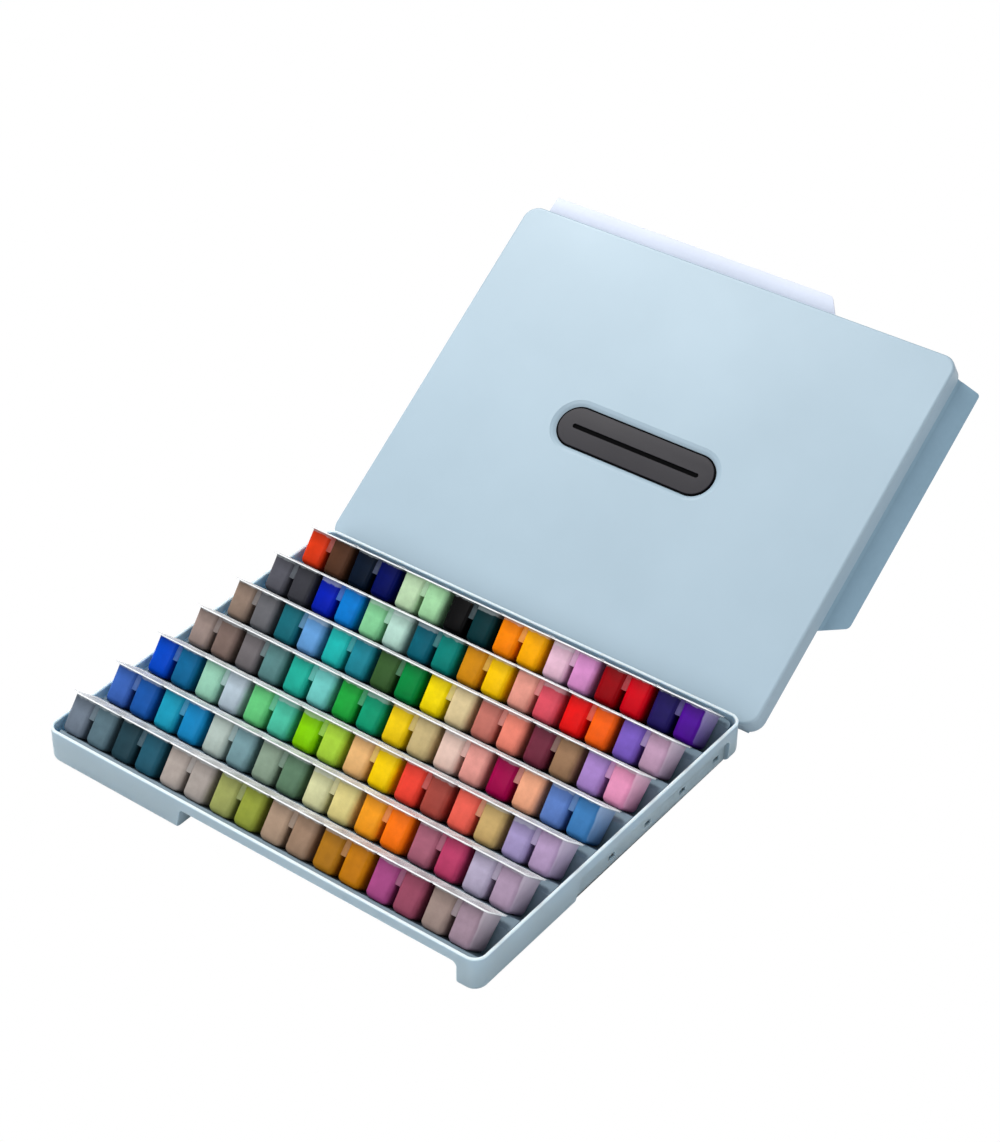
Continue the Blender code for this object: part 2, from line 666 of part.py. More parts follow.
def hook_ends(out):
    """Where the hook starts and ends along a flap, inside the case's recess when the lid is on."""
    start, _ = flap_span(out)
    if out.x:
        span, overhang, far_margin = LID_DEPTH, LID_OVERHANG_Y, RECESS_FAR_MARGIN_SHORT
    else:
        span, overhang, far_margin = LID_WIDTH, LID_OVERHANG_X, RECESS_FAR_MARGIN_LONG
    first = overhang + RECESS_NEAR_MARGIN + HOOK_END_MARGIN - start
    return first, span - overhang - far_margin - HOOK_END_MARGIN - start


def latch_flap(name, out, rest_angle, material, lid_matrix):
    """One latch flap, turned about its hinge line from closed to the angle at which it rests."""
    _, length = flap_span(out)
    overhang = LID_OVERHANG_X if out.x else LID_OVERHANG_Y
    deep = overhang + FLAP_LENGTH
    body = prism(flap_section(overhang), -OVERRUN, length + OVERRUN)
    turned(body, frame_matrix((0, 1, 0), (0, 0, 1), (1, 0, 0)))
    flap = add_object(name, body, material)
    combine(flap, add_object("outline", prism(flap_outline(length), -deep, deep)), "INTERSECT")
    hook_first, hook_last = hook_ends(out)
    for start, end in ((-OVERRUN, hook_first), (hook_last, length + OVERRUN)):
        trim = box((start, -OVERRUN, -deep), (end, FLAP_LENGTH + OVERRUN, -FLAP_THICKNESS / 2))
        combine(flap, add_object("trim", trim), "DIFFERENCE")
    merge_flat(flap)
    smooth(flap)
    flap.matrix_world = lid_matrix @ hinge_matrix(out) @ Matrix.Rotation(rest_angle, 4, "X")
    return flap


def lid_group(material):
    """The lid, its plate and its four flaps, tilted about the line of its near flap's hinge."""
    matrix = Matrix.Translation((LID_OFFSET_X, PIVOT_Y, PIVOT_HEIGHT)) @ Matrix.Rotation(LID_TILT, 4, "X")
    lid_shell(material).matrix_world = matrix
    grip_plate(plastic("grip_plastic", (0.085, 0.08, 0.088), 0.55)).matrix_world = matrix
    angles = {"flap_far": FLAP_OPEN, "flap_right": FLAP_HALF_OPEN,
              "flap_near": FLAP_FLAT, "flap_left": FLAP_TUCKED}
    for name, out_axis in FLAP_SIDES.items():
        latch_flap(name, Vector(out_axis), angles[name], material, matrix)


def main():
    clear_scene()
    case_shell(plastic("case_plastic", (0.42, 0.54, 0.60), 0.45))
    cup_bed(plastic("bed_plastic", (0.36, 0.46, 0.50), 0.5))
    cup_rows()
    lid_group(plastic("lid_plastic", (0.60, 0.72, 0.79), 0.4))


main()
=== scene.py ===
"""Looks of a gouache paint set: a case with leaning rows of filled twin cups, and its lid behind it."""

import math
import random

import bmesh
import bpy
from mathutils import Matrix, Vector


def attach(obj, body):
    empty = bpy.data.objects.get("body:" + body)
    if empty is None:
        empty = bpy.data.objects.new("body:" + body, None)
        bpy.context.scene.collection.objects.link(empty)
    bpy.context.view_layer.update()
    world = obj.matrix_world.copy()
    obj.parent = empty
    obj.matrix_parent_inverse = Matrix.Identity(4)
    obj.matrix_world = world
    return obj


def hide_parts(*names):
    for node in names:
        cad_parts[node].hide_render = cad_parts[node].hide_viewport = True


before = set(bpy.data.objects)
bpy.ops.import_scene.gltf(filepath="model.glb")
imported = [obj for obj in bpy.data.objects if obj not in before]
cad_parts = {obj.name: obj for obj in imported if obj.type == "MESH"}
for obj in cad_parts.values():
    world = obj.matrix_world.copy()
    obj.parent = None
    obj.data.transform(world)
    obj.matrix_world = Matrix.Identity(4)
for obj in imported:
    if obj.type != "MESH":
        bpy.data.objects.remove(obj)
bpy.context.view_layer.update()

# Clearances and tolerances; all lengths are in metres
GAP = 0.0003
OVERRUN = 0.002
TOLERANCE = 0.0001
WELD_DISTANCE = 0.00001
FLAT_ANGLE = math.radians(0.1)
UNDERSIDE_NORMAL = -0.5

# Case
CASE_WIDTH = 0.372
CASE_DEPTH = 0.300
CASE_HEIGHT = 0.028
CASE_CORNER_RADIUS = 0.010
CASE_FOOT_RADIUS = 0.005
CASE_WALL = 0.0022
CASE_FLOOR = 0.0022
CASE_BEVEL = 0.0005
RIM_ROUND = 0.0008
BAND_HEIGHT = 0.009

# Latch recesses and the notches in the side ones
RECESS_WALL = 0.0018
RECESS_NEAR_MARGIN = 0.017
RECESS_FAR_MARGIN_LONG = 0.124
RECESS_FAR_MARGIN_SHORT = 0.108
RECESS_SLANT = 0.006
RECESS_ROUND = 0.004
RECESS_FOOT_ROUND = 0.001
SIDE_RECESS_DEPTH = 0.004
FRONT_RECESS_DEPTH = 0.0035
FRONT_RECESS_LEAN = math.radians(38)
NOTCH_WIDTH = 0.007
NOTCH_HEIGHT = 0.004
NOTCH_SILL = 0.0048
NOTCH_OVERRUN = 0.0005

# Rows
ROW_COUNT = 7
TWINS_PER_ROW = 8
ROW_LEAN = math.radians(43)
FIRST_CREST_INSET = 0.025
LAST_ROW_MARGIN = 0.00594
ROW_CLEARANCE = 0.00176
ROW_LEFT_INSET = 0.0044
ROW_RIGHT_INSET = 0.0116
FOOT_ROOM = 0.00516

# Flanges
FLANGE_THICKNESS = 0.0008
FLANGE_CORNER = 0.0025
FLANGE_ROUND = 0.00015
FLANGE_PARTING = 0.0001
SHARP_CORNER = 0.00003

# Cups
CUP_DEPTH = 0.028
CUP_SPACING = 0.0028
CUP_END_MARGIN = 0.00205
CUP_FLANGE_MARGIN = 0.0012
CUP_TAPER = 0.0008
CUP_TAPER_ACROSS = 0.001
CUP_WALL = 0.0009
CUP_WALL_SHARES = (0.25, 0.5, 0.75)
CUP_CORNER = 0.0034
CUP_FILLET = 0.0005
CUP_FOOT = 0.0040
CUP_FOOT_CORNER_SHARE = 0.6
CUP_SMALLEST_CORNER = 0.0004
CUP_SMOOTH_ANGLE = math.radians(38)
MOUTH_DEPTH = 0.0004
MOUTH_DIP = 0.00005
MOUTH_FLARE = 0.0003
DIMPLE_INSET = 0.0012
DIMPLE_CORNER = 0.0012
DIMPLE_DEPTH = 0.0004

# Paint in the cups: how far it may lie under the mouth, and its slightly raised middle
PAINT_DEPTHS = (0.0016, 0.0018, 0.0020, 0.0022, 0.0026, 0.0040)
PAINT_SKIN = 0.0001
PAINT_EDGE_INSET = 0.0012
PAINT_MIDDLE_INSET = 0.0032
PAINT_MIDDLE_CORNER = 0.001

# Tabs between two cups
WEB_HEIGHT = 0.0125
WEB_THICKNESS = 0.0009
WEB_INSET = 0.0030
WEB_OVERLAP = 0.0008
WEB_ROUND = 0.0002
WEB_SINK = 0.0001
WEB_TINT = 0.4

# Films: the thickness is the solids', for which the lid leaves room, and the sheet is what is shown
FILM_THICKNESS = 0.0003
FILM_SHEET = 0.00014
FILM_LIFT = 0.00006
FILM_MARGIN = 0.0003
FILM_COLUMNS = 22
FILM_LINES = 8
FILM_WAVE = 0.00004
FILM_WAVE_ANGLE = 9
FILM_CORNER_LIFTS = (0.0, 0.0001, 0.0002, 0.0008)
FILM_CORNER_POWER = 6
FILM_CORNER_REACH = 0.006
FILM_SEED = 100
FILM_SMOOTH_ANGLE = math.radians(50)

# Lid
OVERHANG_X = 0.005
OVERHANG_Y = 0.0045
LID_HEIGHT = 0.016
LID_CORNER_RADIUS = 0.012
LID_WALL = 0.0021
LID_EDGE_RADIUS = 0.002
LID_TILT = math.radians(34.8)
LID_OFFSET_X = -0.002
LID_BACK_GAP = 0.0171
SKIRT_ROUND = 0.0003
SEAT_RIB_THICKNESS = 0.0016
SEAT_CLEARANCE = 0.0001

# Dish in the lid, whose lip bends at shares of its slope
DISH_DEPTH = 0.002
DISH_WALL = 0.001
DISH_SLOPE = 0.0046
DISH_SINK = 0.001
DISH_LIP = 0.0026
DISH_EDGE = 0.0010
DISH_EDGE_ROUND = 0.0002
DISH_BRIM_DROP = 0.00008
DISH_WALL_SHARE = 0.42
DISH_EDGE_SHARE = 0.5
DISH_BRIM_SHARE = 0.95

# Grip plate
PLATE_LENGTH = 0.138
PLATE_WIDTH = 0.034
PLATE_THICKNESS = 0.0013
PLATE_ROUND = 0.0005
STEP_WIDTH = 0.0013
STEP_HEIGHT = 0.0004
SLOT_LENGTH = 0.112
SLOT_WIDTH = 0.0034
SLOT_DEPTH = 0.0009
SLOT_CHAMFER = 0.0002

# Latch flaps
FLAP_START = 0.008
FLAP_END_LONG = 0.105
FLAP_END_SHORT = 0.086
FLAP_START_ROUND = 0.0025
FLAP_END_ROUND = 0.006
FLAP_END_SLANT = 0.016
FLAP_THICKNESS = 0.0018
FLAP_TIP = 0.0046
FLAP_DROP = 0.0012
FLAP_WEB = 0.0009
FLAP_WEB_LENGTH = 0.0032
FLAP_WEB_RAMP = 0.0006
FLAP_BEAD_RADIUS = 0.00085
FLAP_BEVEL = 0.0003
HOOK_REACH = 0.0025
HOOK_THICKNESS = 0.002
HOOK_CLEARANCE = 0.0002
HOOK_END_MARGIN = 0.004
TUCK_CLEARANCE = 0.0004
TUCK_MARGIN = 0.001

# Steps in a corner, a quarter round or a turn
BODY_STEPS = 14
RECESS_STEPS = 10
CUP_STEPS = 6
WEB_STEPS = 3
DISH_STEPS = 20
PLATE_STEPS = 28
SLOT_STEPS = 10
BEAD_STEPS = 12
EDGE_STEPS = 8
SMALL_EDGE_STEPS = 5
RIM_STEPS = 4

# Worked out from the sizes
BAND_Z = CASE_HEIGHT - BAND_HEIGHT
LEAN_SHARE = math.cos(ROW_LEAN)
ROW_PITCH = ((CASE_DEPTH - FIRST_CREST_INSET - LAST_ROW_MARGIN + ROW_CLEARANCE * LEAN_SHARE)
             / (ROW_COUNT - 1 + LEAN_SHARE ** 2))
ROW_LENGTH = CASE_WIDTH - ROW_LEFT_INSET - ROW_RIGHT_INSET
ROW_CENTRE_X = ROW_LEFT_INSET + ROW_LENGTH / 2 - CASE_WIDTH / 2
TWIN_LENGTH = ROW_LENGTH / TWINS_PER_ROW
FLANGE_DEPTH = ROW_PITCH * LEAN_SHARE - ROW_CLEARANCE
CUP_ACROSS = FLANGE_DEPTH - 2 * CUP_FLANGE_MARGIN
CUP_WIDTH = (TWIN_LENGTH - CUP_SPACING) / 2 - CUP_END_MARGIN
CUP_PITCH = CUP_WIDTH + CUP_SPACING
CREST_Z = (CASE_FLOOR + FOOT_ROOM + (CUP_DEPTH + GAP) * LEAN_SHARE
           + (FLANGE_DEPTH - CUP_FLANGE_MARGIN + GAP - CUP_TAPER_ACROSS) * math.sin(ROW_LEAN))
LID_WIDTH = CASE_WIDTH + 2 * OVERHANG_X
LID_DEPTH = CASE_DEPTH + 2 * OVERHANG_Y
LID_TOP = FLAP_DROP + LID_HEIGHT
LID_CEILING = LID_TOP - LID_WALL
DISH_FLOOR = LID_TOP - DISH_DEPTH - DISH_SINK
SEAT_INSET = OVERHANG_X + GAP
SEAT_Z = (LID_TOP - DISH_DEPTH - DISH_WALL - (CREST_Z - CASE_HEIGHT)
          - FILM_THICKNESS - GAP - SEAT_CLEARANCE)
HOOK_START = BAND_HEIGHT - SEAT_Z + HOOK_CLEARANCE
FLAP_LENGTH = HOOK_START + HOOK_THICKNESS + FLAP_TIP
PIVOT_INSET = LID_WALL / 2
PIVOT_HEIGHT = GAP - SEAT_Z * math.cos(LID_TILT) - (SEAT_INSET - PIVOT_INSET) * math.sin(LID_TILT)
LID_MIDDLE = Vector((0, LID_DEPTH / 2 - PIVOT_INSET))
LID_MATRIX = (Matrix.Translation((LID_OFFSET_X, CASE_DEPTH / 2 + LID_BACK_GAP, PIVOT_HEIGHT))
              @ Matrix.Rotation(LID_TILT, 4, "X"))

# Each flap's way out of the lid, its angle at rest and its body
FLAPS = {
    "flap_far": (Vector((0, 1, 0)), math.radians(90), "far_latch"),
    "flap_right": (Vector((1, 0, 0)), math.radians(45), "right_latch"),
    "flap_near": (Vector((0, -1, 0)), LID_TILT - math.pi / 2, "near_latch"),
    "flap_left": (Vector((-1, 0, 0)), math.radians(-90), "left_latch"),
}

# Gouache colours by name, as sRGB
PAINTS = {
    "slate": (106, 117, 130), "grey teal": (88, 112, 122), "deep petrol": (34, 62, 72),
    "petrol": (34, 84, 102), "stone": (170, 158, 150), "warm stone": (164, 154, 147),
    "moss": (150, 155, 88), "olive": (140, 150, 56), "sand brown": (166, 140, 118),
    "camel": (150, 122, 100), "raw sienna": (166, 110, 22), "gold ochre": (188, 116, 8),
    "plum": (162, 70, 126), "wine rose": (146, 70, 92), "taupe": (150, 130, 122),
    "mauve grey": (156, 132, 146), "denim": (58, 98, 178), "strong blue": (26, 86, 166),
    "lagoon": (26, 152, 182), "azure": (20, 130, 186), "frost green": (176, 190, 182),
    "mist teal": (116, 150, 156), "sage": (136, 156, 136), "fern grey": (94, 126, 100),
    "pale pistachio": (206, 206, 158), "straw": (216, 202, 132), "marigold": (238, 152, 28),
    "orange": (248, 116, 12), "old rose": (166, 96, 116), "raspberry": (182, 60, 100),
    "pale lavender": (176, 166, 190), "dusky lilac": (170, 146, 170), "cobalt": (0, 70, 192),
    "sea blue": (16, 100, 146), "pale mint": (150, 202, 176), "ice": (176, 190, 200),
    "apple mint": (100, 196, 122), "aqua green": (74, 186, 156), "leaf": (130, 202, 0),
    "lime": (166, 206, 60), "apricot": (226, 176, 116), "sun yellow": (242, 202, 0),
    "coral red": (232, 66, 50), "brick": (160, 70, 60), "coral": (232, 96, 80),
    "bamboo": (196, 166, 106), "wisteria": (160, 146, 190), "lilac": (176, 150, 186),
    "cocoa grey": (148, 130, 122), "cocoa": (124, 104, 96), "iron": (110, 104, 106),
    "teal grey": (88, 130, 130), "turquoise": (34, 170, 150), "pool": (110, 196, 190),
    "grass": (30, 160, 60), "sea green": (14, 150, 110), "yellow": (236, 200, 14),
    "khaki": (196, 176, 126), "shell": (226, 196, 182), "rose beige": (224, 152, 142),
    "crimson lake": (154, 0, 70), "peach": (236, 166, 130), "cornflower": (90, 124, 190),
    "steel": (60, 122, 180), "walnut grey": (140, 120, 106), "zinc": (104, 104, 108),
    "deep teal": (24, 104, 116), "sky": (100, 156, 212), "bright aqua": (30, 176, 170),
    "viridian": (30, 130, 146), "forest": (56, 90, 46), "emerald": (4, 130, 60),
    "lemon": (238, 212, 0), "cream": (216, 196, 150), "terracotta rose": (190, 112, 100),
    "salmon": (232, 132, 112), "burgundy": (112, 44, 62), "hazel": (150, 116, 86),
    "orchid": (166, 130, 196), "candy": (228, 146, 182), "graphite": (86, 86, 94),
    "charcoal": (60, 60, 66), "royal": (2, 30, 172), "cerulean": (8, 120, 202),
    "spring": (134, 206, 150), "dew": (182, 216, 202), "ocean": (8, 94, 112),
    "jade": (8, 126, 116), "amber ochre": (206, 136, 14), "golden": (242, 192, 0),
    "blush": (226, 152, 136), "rose": (216, 80, 96), "vermilion": (228, 18, 18),
    "tangerine": (244, 96, 18), "violet": (120, 90, 186), "pearl mauve": (186, 150, 176),
    "burnt orange": (216, 56, 20), "umber": (82, 52, 36), "ink": (6, 20, 38),
    "navy": (0, 10, 86), "celery": (188, 216, 176), "light green": (160, 210, 160),
    "black": (9, 8, 9), "night teal": (6, 50, 55), "bright orange": (248, 134, 0),
    "amber": (246, 170, 0), "baby pink": (226, 186, 206), "pink orchid": (210, 140, 196),
    "carmine": (144, 0, 10), "scarlet": (204, 0, 22), "indigo": (32, 22, 88),
    "purple": (76, 12, 142),
}
# The paints of each row, from the front row to the back one
ROWS = [
    ["slate", "grey teal", "deep petrol", "petrol", "stone", "warm stone", "moss", "olive",
     "sand brown", "camel", "raw sienna", "gold ochre", "plum", "wine rose", "taupe", "mauve grey"],
    ["denim", "strong blue", "lagoon", "azure", "frost green", "mist teal", "sage", "fern grey",
     "pale pistachio", "straw", "marigold", "orange",
     "old rose", "raspberry", "pale lavender", "dusky lilac"],
    ["cobalt", "sea blue", "pale mint", "ice", "apple mint", "aqua green", "leaf", "lime",
     "apricot", "sun yellow", "coral red", "brick", "coral", "bamboo", "wisteria", "lilac"],
    ["cocoa grey", "cocoa", "iron", "teal grey", "turquoise", "pool", "grass", "sea green",
     "yellow", "khaki", "shell", "rose beige", "crimson lake", "peach", "cornflower", "steel"],
    ["walnut grey", "zinc", "deep teal", "sky", "bright aqua", "viridian", "forest", "emerald",
     "lemon", "cream", "terracotta rose", "salmon", "burgundy", "hazel", "orchid", "candy"],
    ["graphite", "charcoal", "royal", "cerulean", "spring", "dew", "ocean", "jade",
     "amber ochre", "golden", "blush", "rose", "vermilion", "tangerine", "violet", "pearl mauve"],
    ["burnt orange", "umber", "ink", "navy", "celery", "light green", "black", "night teal",
     "bright orange", "amber", "baby pink", "pink orchid", "carmine", "scarlet", "indigo", "purple"],
]

# Noises by use: scale per metre, detail and roughness
NOISES = {
    "drift": (9.0, 4.0, 0.5), "sheen": (14.0, 2.0, 0.5), "grain": (1500.0, 2.0, 0.5),
    "scuff_and_highlight": (260.0, 2.0, 0.5),
    "cup streak": (130.0, 5.0, 0.6), "cup level": (220.0, 3.0, 0.5),
    "cup sheen": (70.0, 3.0, 0.5), "cup dents": (95.0, 3.0, 0.5),
    "web tint": (180.0, 3.0, 0.5), "web sheen": (90.0, 3.0, 0.5), "web dents": (200.0, 3.0, 0.5),
    "paint shade": (160.0, 4.0, 0.5), "paint sheen": (90.0, 3.0, 0.5), "paint lumps": (240.0, 4.0, 0.5),
    "milk tint": (40.0, 3.0, 0.5), "milk sheen": (120.0, 3.0, 0.5),
    "milk dents": (300.0, 3.0, 0.5), "milk veil": (75.0, 3.0, 0.5),
}
# The part of a noise's range that is used
NOISE_LOW, NOISE_HIGH = 0.3, 0.7

# Looks; colours here are linear, with alpha
WHITE = (1, 1, 1, 1)
# Pale convex edges, partly scuffing and partly painted highlight: where they start and end by pointiness, and
# how much paler they are
SCUFF_AND_HIGHLIGHT_POINTINESS = (0.53, 0.62)
SCUFF_AND_HIGHLIGHT_GAIN, SCUFF_AND_HIGHLIGHT_LIFT = 1.35, 0.04
GRAIN_HEIGHT = 0.0001
SHEEN_BELOW, SHEEN_ABOVE = 0.02, 0.03
PLASTIC_SCATTER = (0.005, 0.006, 0.007)
# Painted shadow under the flanges: how far down the cups it reaches, and how dark it is at the flange
FLANGE_SHADOW_DEPTH, FLANGE_SHADOW_LEVEL = 0.008, 0.62
# Painted light up the right side of each row's last cup: its reach in from the side, its strength at the foot
# and its rise to the top, and its pale colour with its share
SIDE_LIGHT_REACH, SIDE_LIGHT_FOOT, SIDE_LIGHT_RISE = 0.0012, 0.20, 0.60
SIDE_LIGHT_COLOUR, SIDE_LIGHT_SHARE = (0.86, 0.88, 0.94, 1), 0.35
EMPTY_COLOUR, EMPTY_SHARE = (0.42, 0.46, 0.47, 1), 0.35
LEVEL_WAVE = 0.0006
LEVEL_BLEND = (-0.0002, 0.0005)
DENT_HEIGHT = 0.001
WEB_COLOUR, WEB_DENT_HEIGHT = (0.24, 0.28, 0.30, 1), 0.0005
MILK_SHADE, MILK_DENT_HEIGHT = 0.86, 0.0004
MILK_SHEEN_BELOW, MILK_SHEEN_ABOVE, VEIL_SPREAD = 0.05, 0.1, 0.06

# Materials of the rows' meshes in their order, and how many of a cup's bands are paint and flange
CUP_LOOK, FLANGE_LOOK, PAINT_LOOK, WEB_LOOK = range(4)
FILM_LOOK, FILM_EDGE_LOOK = range(2)
PAINT_BANDS, FLANGE_BANDS = 2, 8

# Stage
FLOOR_REACH, FLOOR_TOP, FLOOR_BOTTOM = 3, -0.0002, -0.01
FLOOR_COLOUR = (0.80, 0.81, 0.82, 1)
SURROUND_COLOUR, SURROUND_STRENGTH = (0.93, 0.96, 1.0, 1), 0.42
# Each lamp's place, the point that it faces, its size, power and colour
LAMPS = {
    "key": ((-1.55, 0.55, 2.35), (0, 0.1, 0.05), 1.1, 66, (1.0, 0.99, 0.97)),
    "fill": ((-0.5, -1.8, 1.3), (0, 0.0, 0.05), 1.4, 18, (0.97, 0.98, 1.0)),
    "side": ((1.7, -0.5, 0.9), (0.1, 0.0, 0.05), 1.2, 9, (0.97, 0.98, 1.0)),
}
CAMERA_LENS, CAMERA_SENSOR = 80.84, 36
CAMERA_CLIP = (0.05, 20)
CAMERA_PLACE = (0.86729, -1.04566, 1.14248)
CAMERA_RIGHT = Vector((0.797233, 0.603593, 0.009761))
CAMERA_DOWN = Vector((0.361101, -0.463864, -0.808973))
CAMERA_FORWARD = Vector((-0.483762, 0.648465, -0.587765))


# Colours
def linear(colour):
    """An sRGB colour of 0 to 255 as linear values, by the standard curve."""
    shares = [level / 255 for level in colour]
    return [share / 12.92 if share <= 0.04045 else ((share + 0.055) / 1.055) ** 2.4 for share in shares]


def rgba(colour, gain=1.0, lift=0.0):
    """An sRGB colour as a linear one with alpha, perhaps paler or darker."""
    return (*[min(1.0, level * gain + lift) for level in linear(colour)], 1)


# Shader helpers
def add(tree, kind, settings=None, **values):
    """Adds a shader node, sets its options, and sets or links its inputs by name, or as i0, i1 by number."""
    item = tree.nodes.new(kind)
    for key, value in (settings or {}).items():
        setattr(item, key, value)
    for key, value in values.items():
        name = key.replace("_", " ")
        socket = item.inputs[int(name[1:])] if name[1:].isdigit() else item.inputs[name]
        if isinstance(value, bpy.types.NodeSocket):
            tree.links.new(value, socket)
        else:
            socket.default_value = value
    return item


def start_material(name):
    """An empty node material."""
    material = bpy.data.materials.new(name)
    material.use_nodes = True
    material.node_tree.nodes.clear()
    return material, material.node_tree


def show(tree, shader, kind="ShaderNodeOutputMaterial"):
    """Sends a shader to the output."""
    add(tree, kind, Surface=shader.outputs[0])


def place_in_set(tree):
    """A point in the set's own coordinates."""
    return add(tree, "ShaderNodeTexCoord").outputs["Object"]


def noise(tree, use):
    """One of the noises, in the set's own coordinates."""
    scale, detail, roughness = NOISES[use]
    return add(tree, "ShaderNodeTexNoise", Vector=place_in_set(tree), Scale=scale, Detail=detail,
               Roughness=roughness).outputs["Fac"]


def spread(tree, value, low, high, start, end):
    """A value stretched from one range to another."""
    return add(tree, "ShaderNodeMapRange", Value=value, From_Min=start, From_Max=end,
               To_Min=low, To_Max=high).outputs["Result"]


def varied(tree, use, low, high):
    """A value that one of the noises varies between two limits."""
    return spread(tree, noise(tree, use), low, high, NOISE_LOW, NOISE_HIGH)


def calculated(tree, operation, first, second):
    """Two values put together by a sum or a product."""
    return add(tree, "ShaderNodeMath", {"operation": operation}, i0=first, i1=second).outputs[0]


def mixed(tree, factor, first, second):
    """Two colours mixed by a factor."""
    return add(tree, "ShaderNodeMix", {"data_type": "RGBA"}, i0=factor, i6=first, i7=second).outputs[2]


def bumped(tree, use, strength, distance):
    """A normal roughened by one of the noises."""
    return add(tree, "ShaderNodeBump", Height=noise(tree, use), Strength=strength,
               Distance=distance).outputs["Normal"]


def carried(tree, name, output="Fac"):
    """A value that the mesh carries at its points."""
    return add(tree, "ShaderNodeAttribute", {"attribute_name": name}).outputs[output]


def scuffed_and_highlit_edge(tree, amount):
    """How pale an edge is, partly scuffed and partly as painted highlight."""
    point = add(tree, "ShaderNodeNewGeometry").outputs["Pointiness"]
    edge = spread(tree, point, 0.0, amount, *SCUFF_AND_HIGHLIGHT_POINTINESS)
    return calculated(tree, "MULTIPLY", edge, noise(tree, "scuff_and_highlight"))


# Materials
def plastic(name, dark, light, rough, grain=0.10, scuff_and_highlight=0.5, gloss=0.4, rim=None, milk=0.0):
    """Moulded plastic with colour drift, fine grain, uneven sheen, pale edges that are partly scuffed and
    partly painted highlight, and perhaps a painted highlight along the rim.
    """
    material, tree = start_material(name)
    colour = mixed(tree, varied(tree, "drift", low=0.0, high=1.0), rgba(dark), rgba(light))
    colour = mixed(tree, scuffed_and_highlit_edge(tree, scuff_and_highlight), colour, rgba(light, SCUFF_AND_HIGHLIGHT_GAIN, SCUFF_AND_HIGHLIGHT_LIFT))
    # A paler band along the top of the rim is painted highlight.
    if rim:
        height = add(tree, "ShaderNodeSeparateXYZ", Vector=place_in_set(tree)).outputs["Z"]
        rim_highlight = spread(tree, height, 0.0, 1.0, CASE_HEIGHT - 2 * RIM_ROUND, CASE_HEIGHT - RIM_ROUND / 2)
        colour = mixed(tree, rim_highlight, colour, rgba(rim))
    show(tree, add(tree, "ShaderNodeBsdfPrincipled", Base_Color=colour, Specular_IOR_Level=gloss,
                   Roughness=varied(tree, "sheen", rough - SHEEN_BELOW, rough + SHEEN_ABOVE),
                   Normal=bumped(tree, "grain", grain, GRAIN_HEIGHT),
                   Subsurface_Weight=milk, Subsurface_Radius=PLASTIC_SCATTER, Subsurface_Scale=1.0))
    return material


def cup_material():
    """Clear cup walls with paint behind them, paler above the paint's level, darker towards the flange as
    painted shadow, and with painted light up the side of a row's last cup.
    """
    material, tree = start_material("paint_in_cup")
    paint = carried(tree, "paint", "Color")
    above = carried(tree, "above")
    # The walls darken towards the flange as painted shadow.
    painted_flange_shadow = spread(tree, above, 1.0, FLANGE_SHADOW_LEVEL, -FLANGE_SHADOW_DEPTH, 0.0)
    shade = calculated(tree, "MULTIPLY", varied(tree, "cup streak", low=0.84, high=1.02), painted_flange_shadow)
    body = add(tree, "ShaderNodeHueSaturation", Color=paint, Value=shade).outputs["Color"]
    # The last cup's right side is mixed towards a pale colour as painted light.
    body = mixed(tree, carried(tree, "painted_side_light"), body, mixed(tree, SIDE_LIGHT_SHARE, paint, SIDE_LIGHT_COLOUR))
    empty = mixed(tree, EMPTY_SHARE, body, EMPTY_COLOUR)
    level = calculated(tree, "ADD", varied(tree, "cup level", -LEVEL_WAVE, LEVEL_WAVE), above)
    body = mixed(tree, spread(tree, level, 0.0, 1.0, *LEVEL_BLEND), body, empty)
    show(tree, add(tree, "ShaderNodeBsdfPrincipled", Base_Color=body, Specular_IOR_Level=0.06,
                   Roughness=varied(tree, "cup sheen", low=0.30, high=0.42),
                   Normal=bumped(tree, "cup dents", strength=0.08, distance=DENT_HEIGHT)))
    return material


def web_material():
    """The tab between two cups: clear, greyish, tinted by the paints beside it."""
    material, tree = start_material("web_plastic")
    tint = varied(tree, "web tint", low=0.12, high=0.24)
    colour = mixed(tree, tint, carried(tree, "paint", "Color"), WEB_COLOUR)
    show(tree, add(tree, "ShaderNodeBsdfPrincipled", Base_Color=colour, Specular_IOR_Level=0.08,
                   Roughness=varied(tree, "web sheen", low=0.3, high=0.45),
                   Normal=bumped(tree, "web dents", strength=0.15, distance=WEB_DENT_HEIGHT)))
    return material


def paint_material():
    """The open top of the paint under its film: soft, slightly lumpy and moist."""
    material, tree = start_material("paint_top")
    shade = varied(tree, "paint shade", low=0.82, high=1.08)
    body = add(tree, "ShaderNodeHueSaturation", Color=carried(tree, "paint", "Color"), Value=shade)
    show(tree, add(tree, "ShaderNodeBsdfPrincipled", Base_Color=body.outputs["Color"],
                   Roughness=varied(tree, "paint sheen", low=0.28, high=0.5),
                   Normal=bumped(tree, "paint lumps", strength=0.5, distance=DENT_HEIGHT)))
    return material


def milky(name, colour, rough, opacity, grain=0.1):
    """Thin milky plastic that lets some of what is behind it through."""
    material, tree = start_material(name)
    tint = mixed(tree, varied(tree, "milk tint", low=0.0, high=1.0), rgba(colour), rgba(colour, MILK_SHADE))
    sheen = varied(tree, "milk sheen", rough - MILK_SHEEN_BELOW, rough + MILK_SHEEN_ABOVE)
    solid = add(tree, "ShaderNodeBsdfPrincipled", Base_Color=tint, Roughness=sheen,
                Normal=bumped(tree, "milk dents", grain, MILK_DENT_HEIGHT))
    through = add(tree, "ShaderNodeBsdfTransparent")
    veil = varied(tree, "milk veil", opacity - VEIL_SPREAD, opacity + VEIL_SPREAD)
    show(tree, add(tree, "ShaderNodeMixShader", i0=veil, i1=through.outputs[0], i2=solid.outputs[0]))
    return material


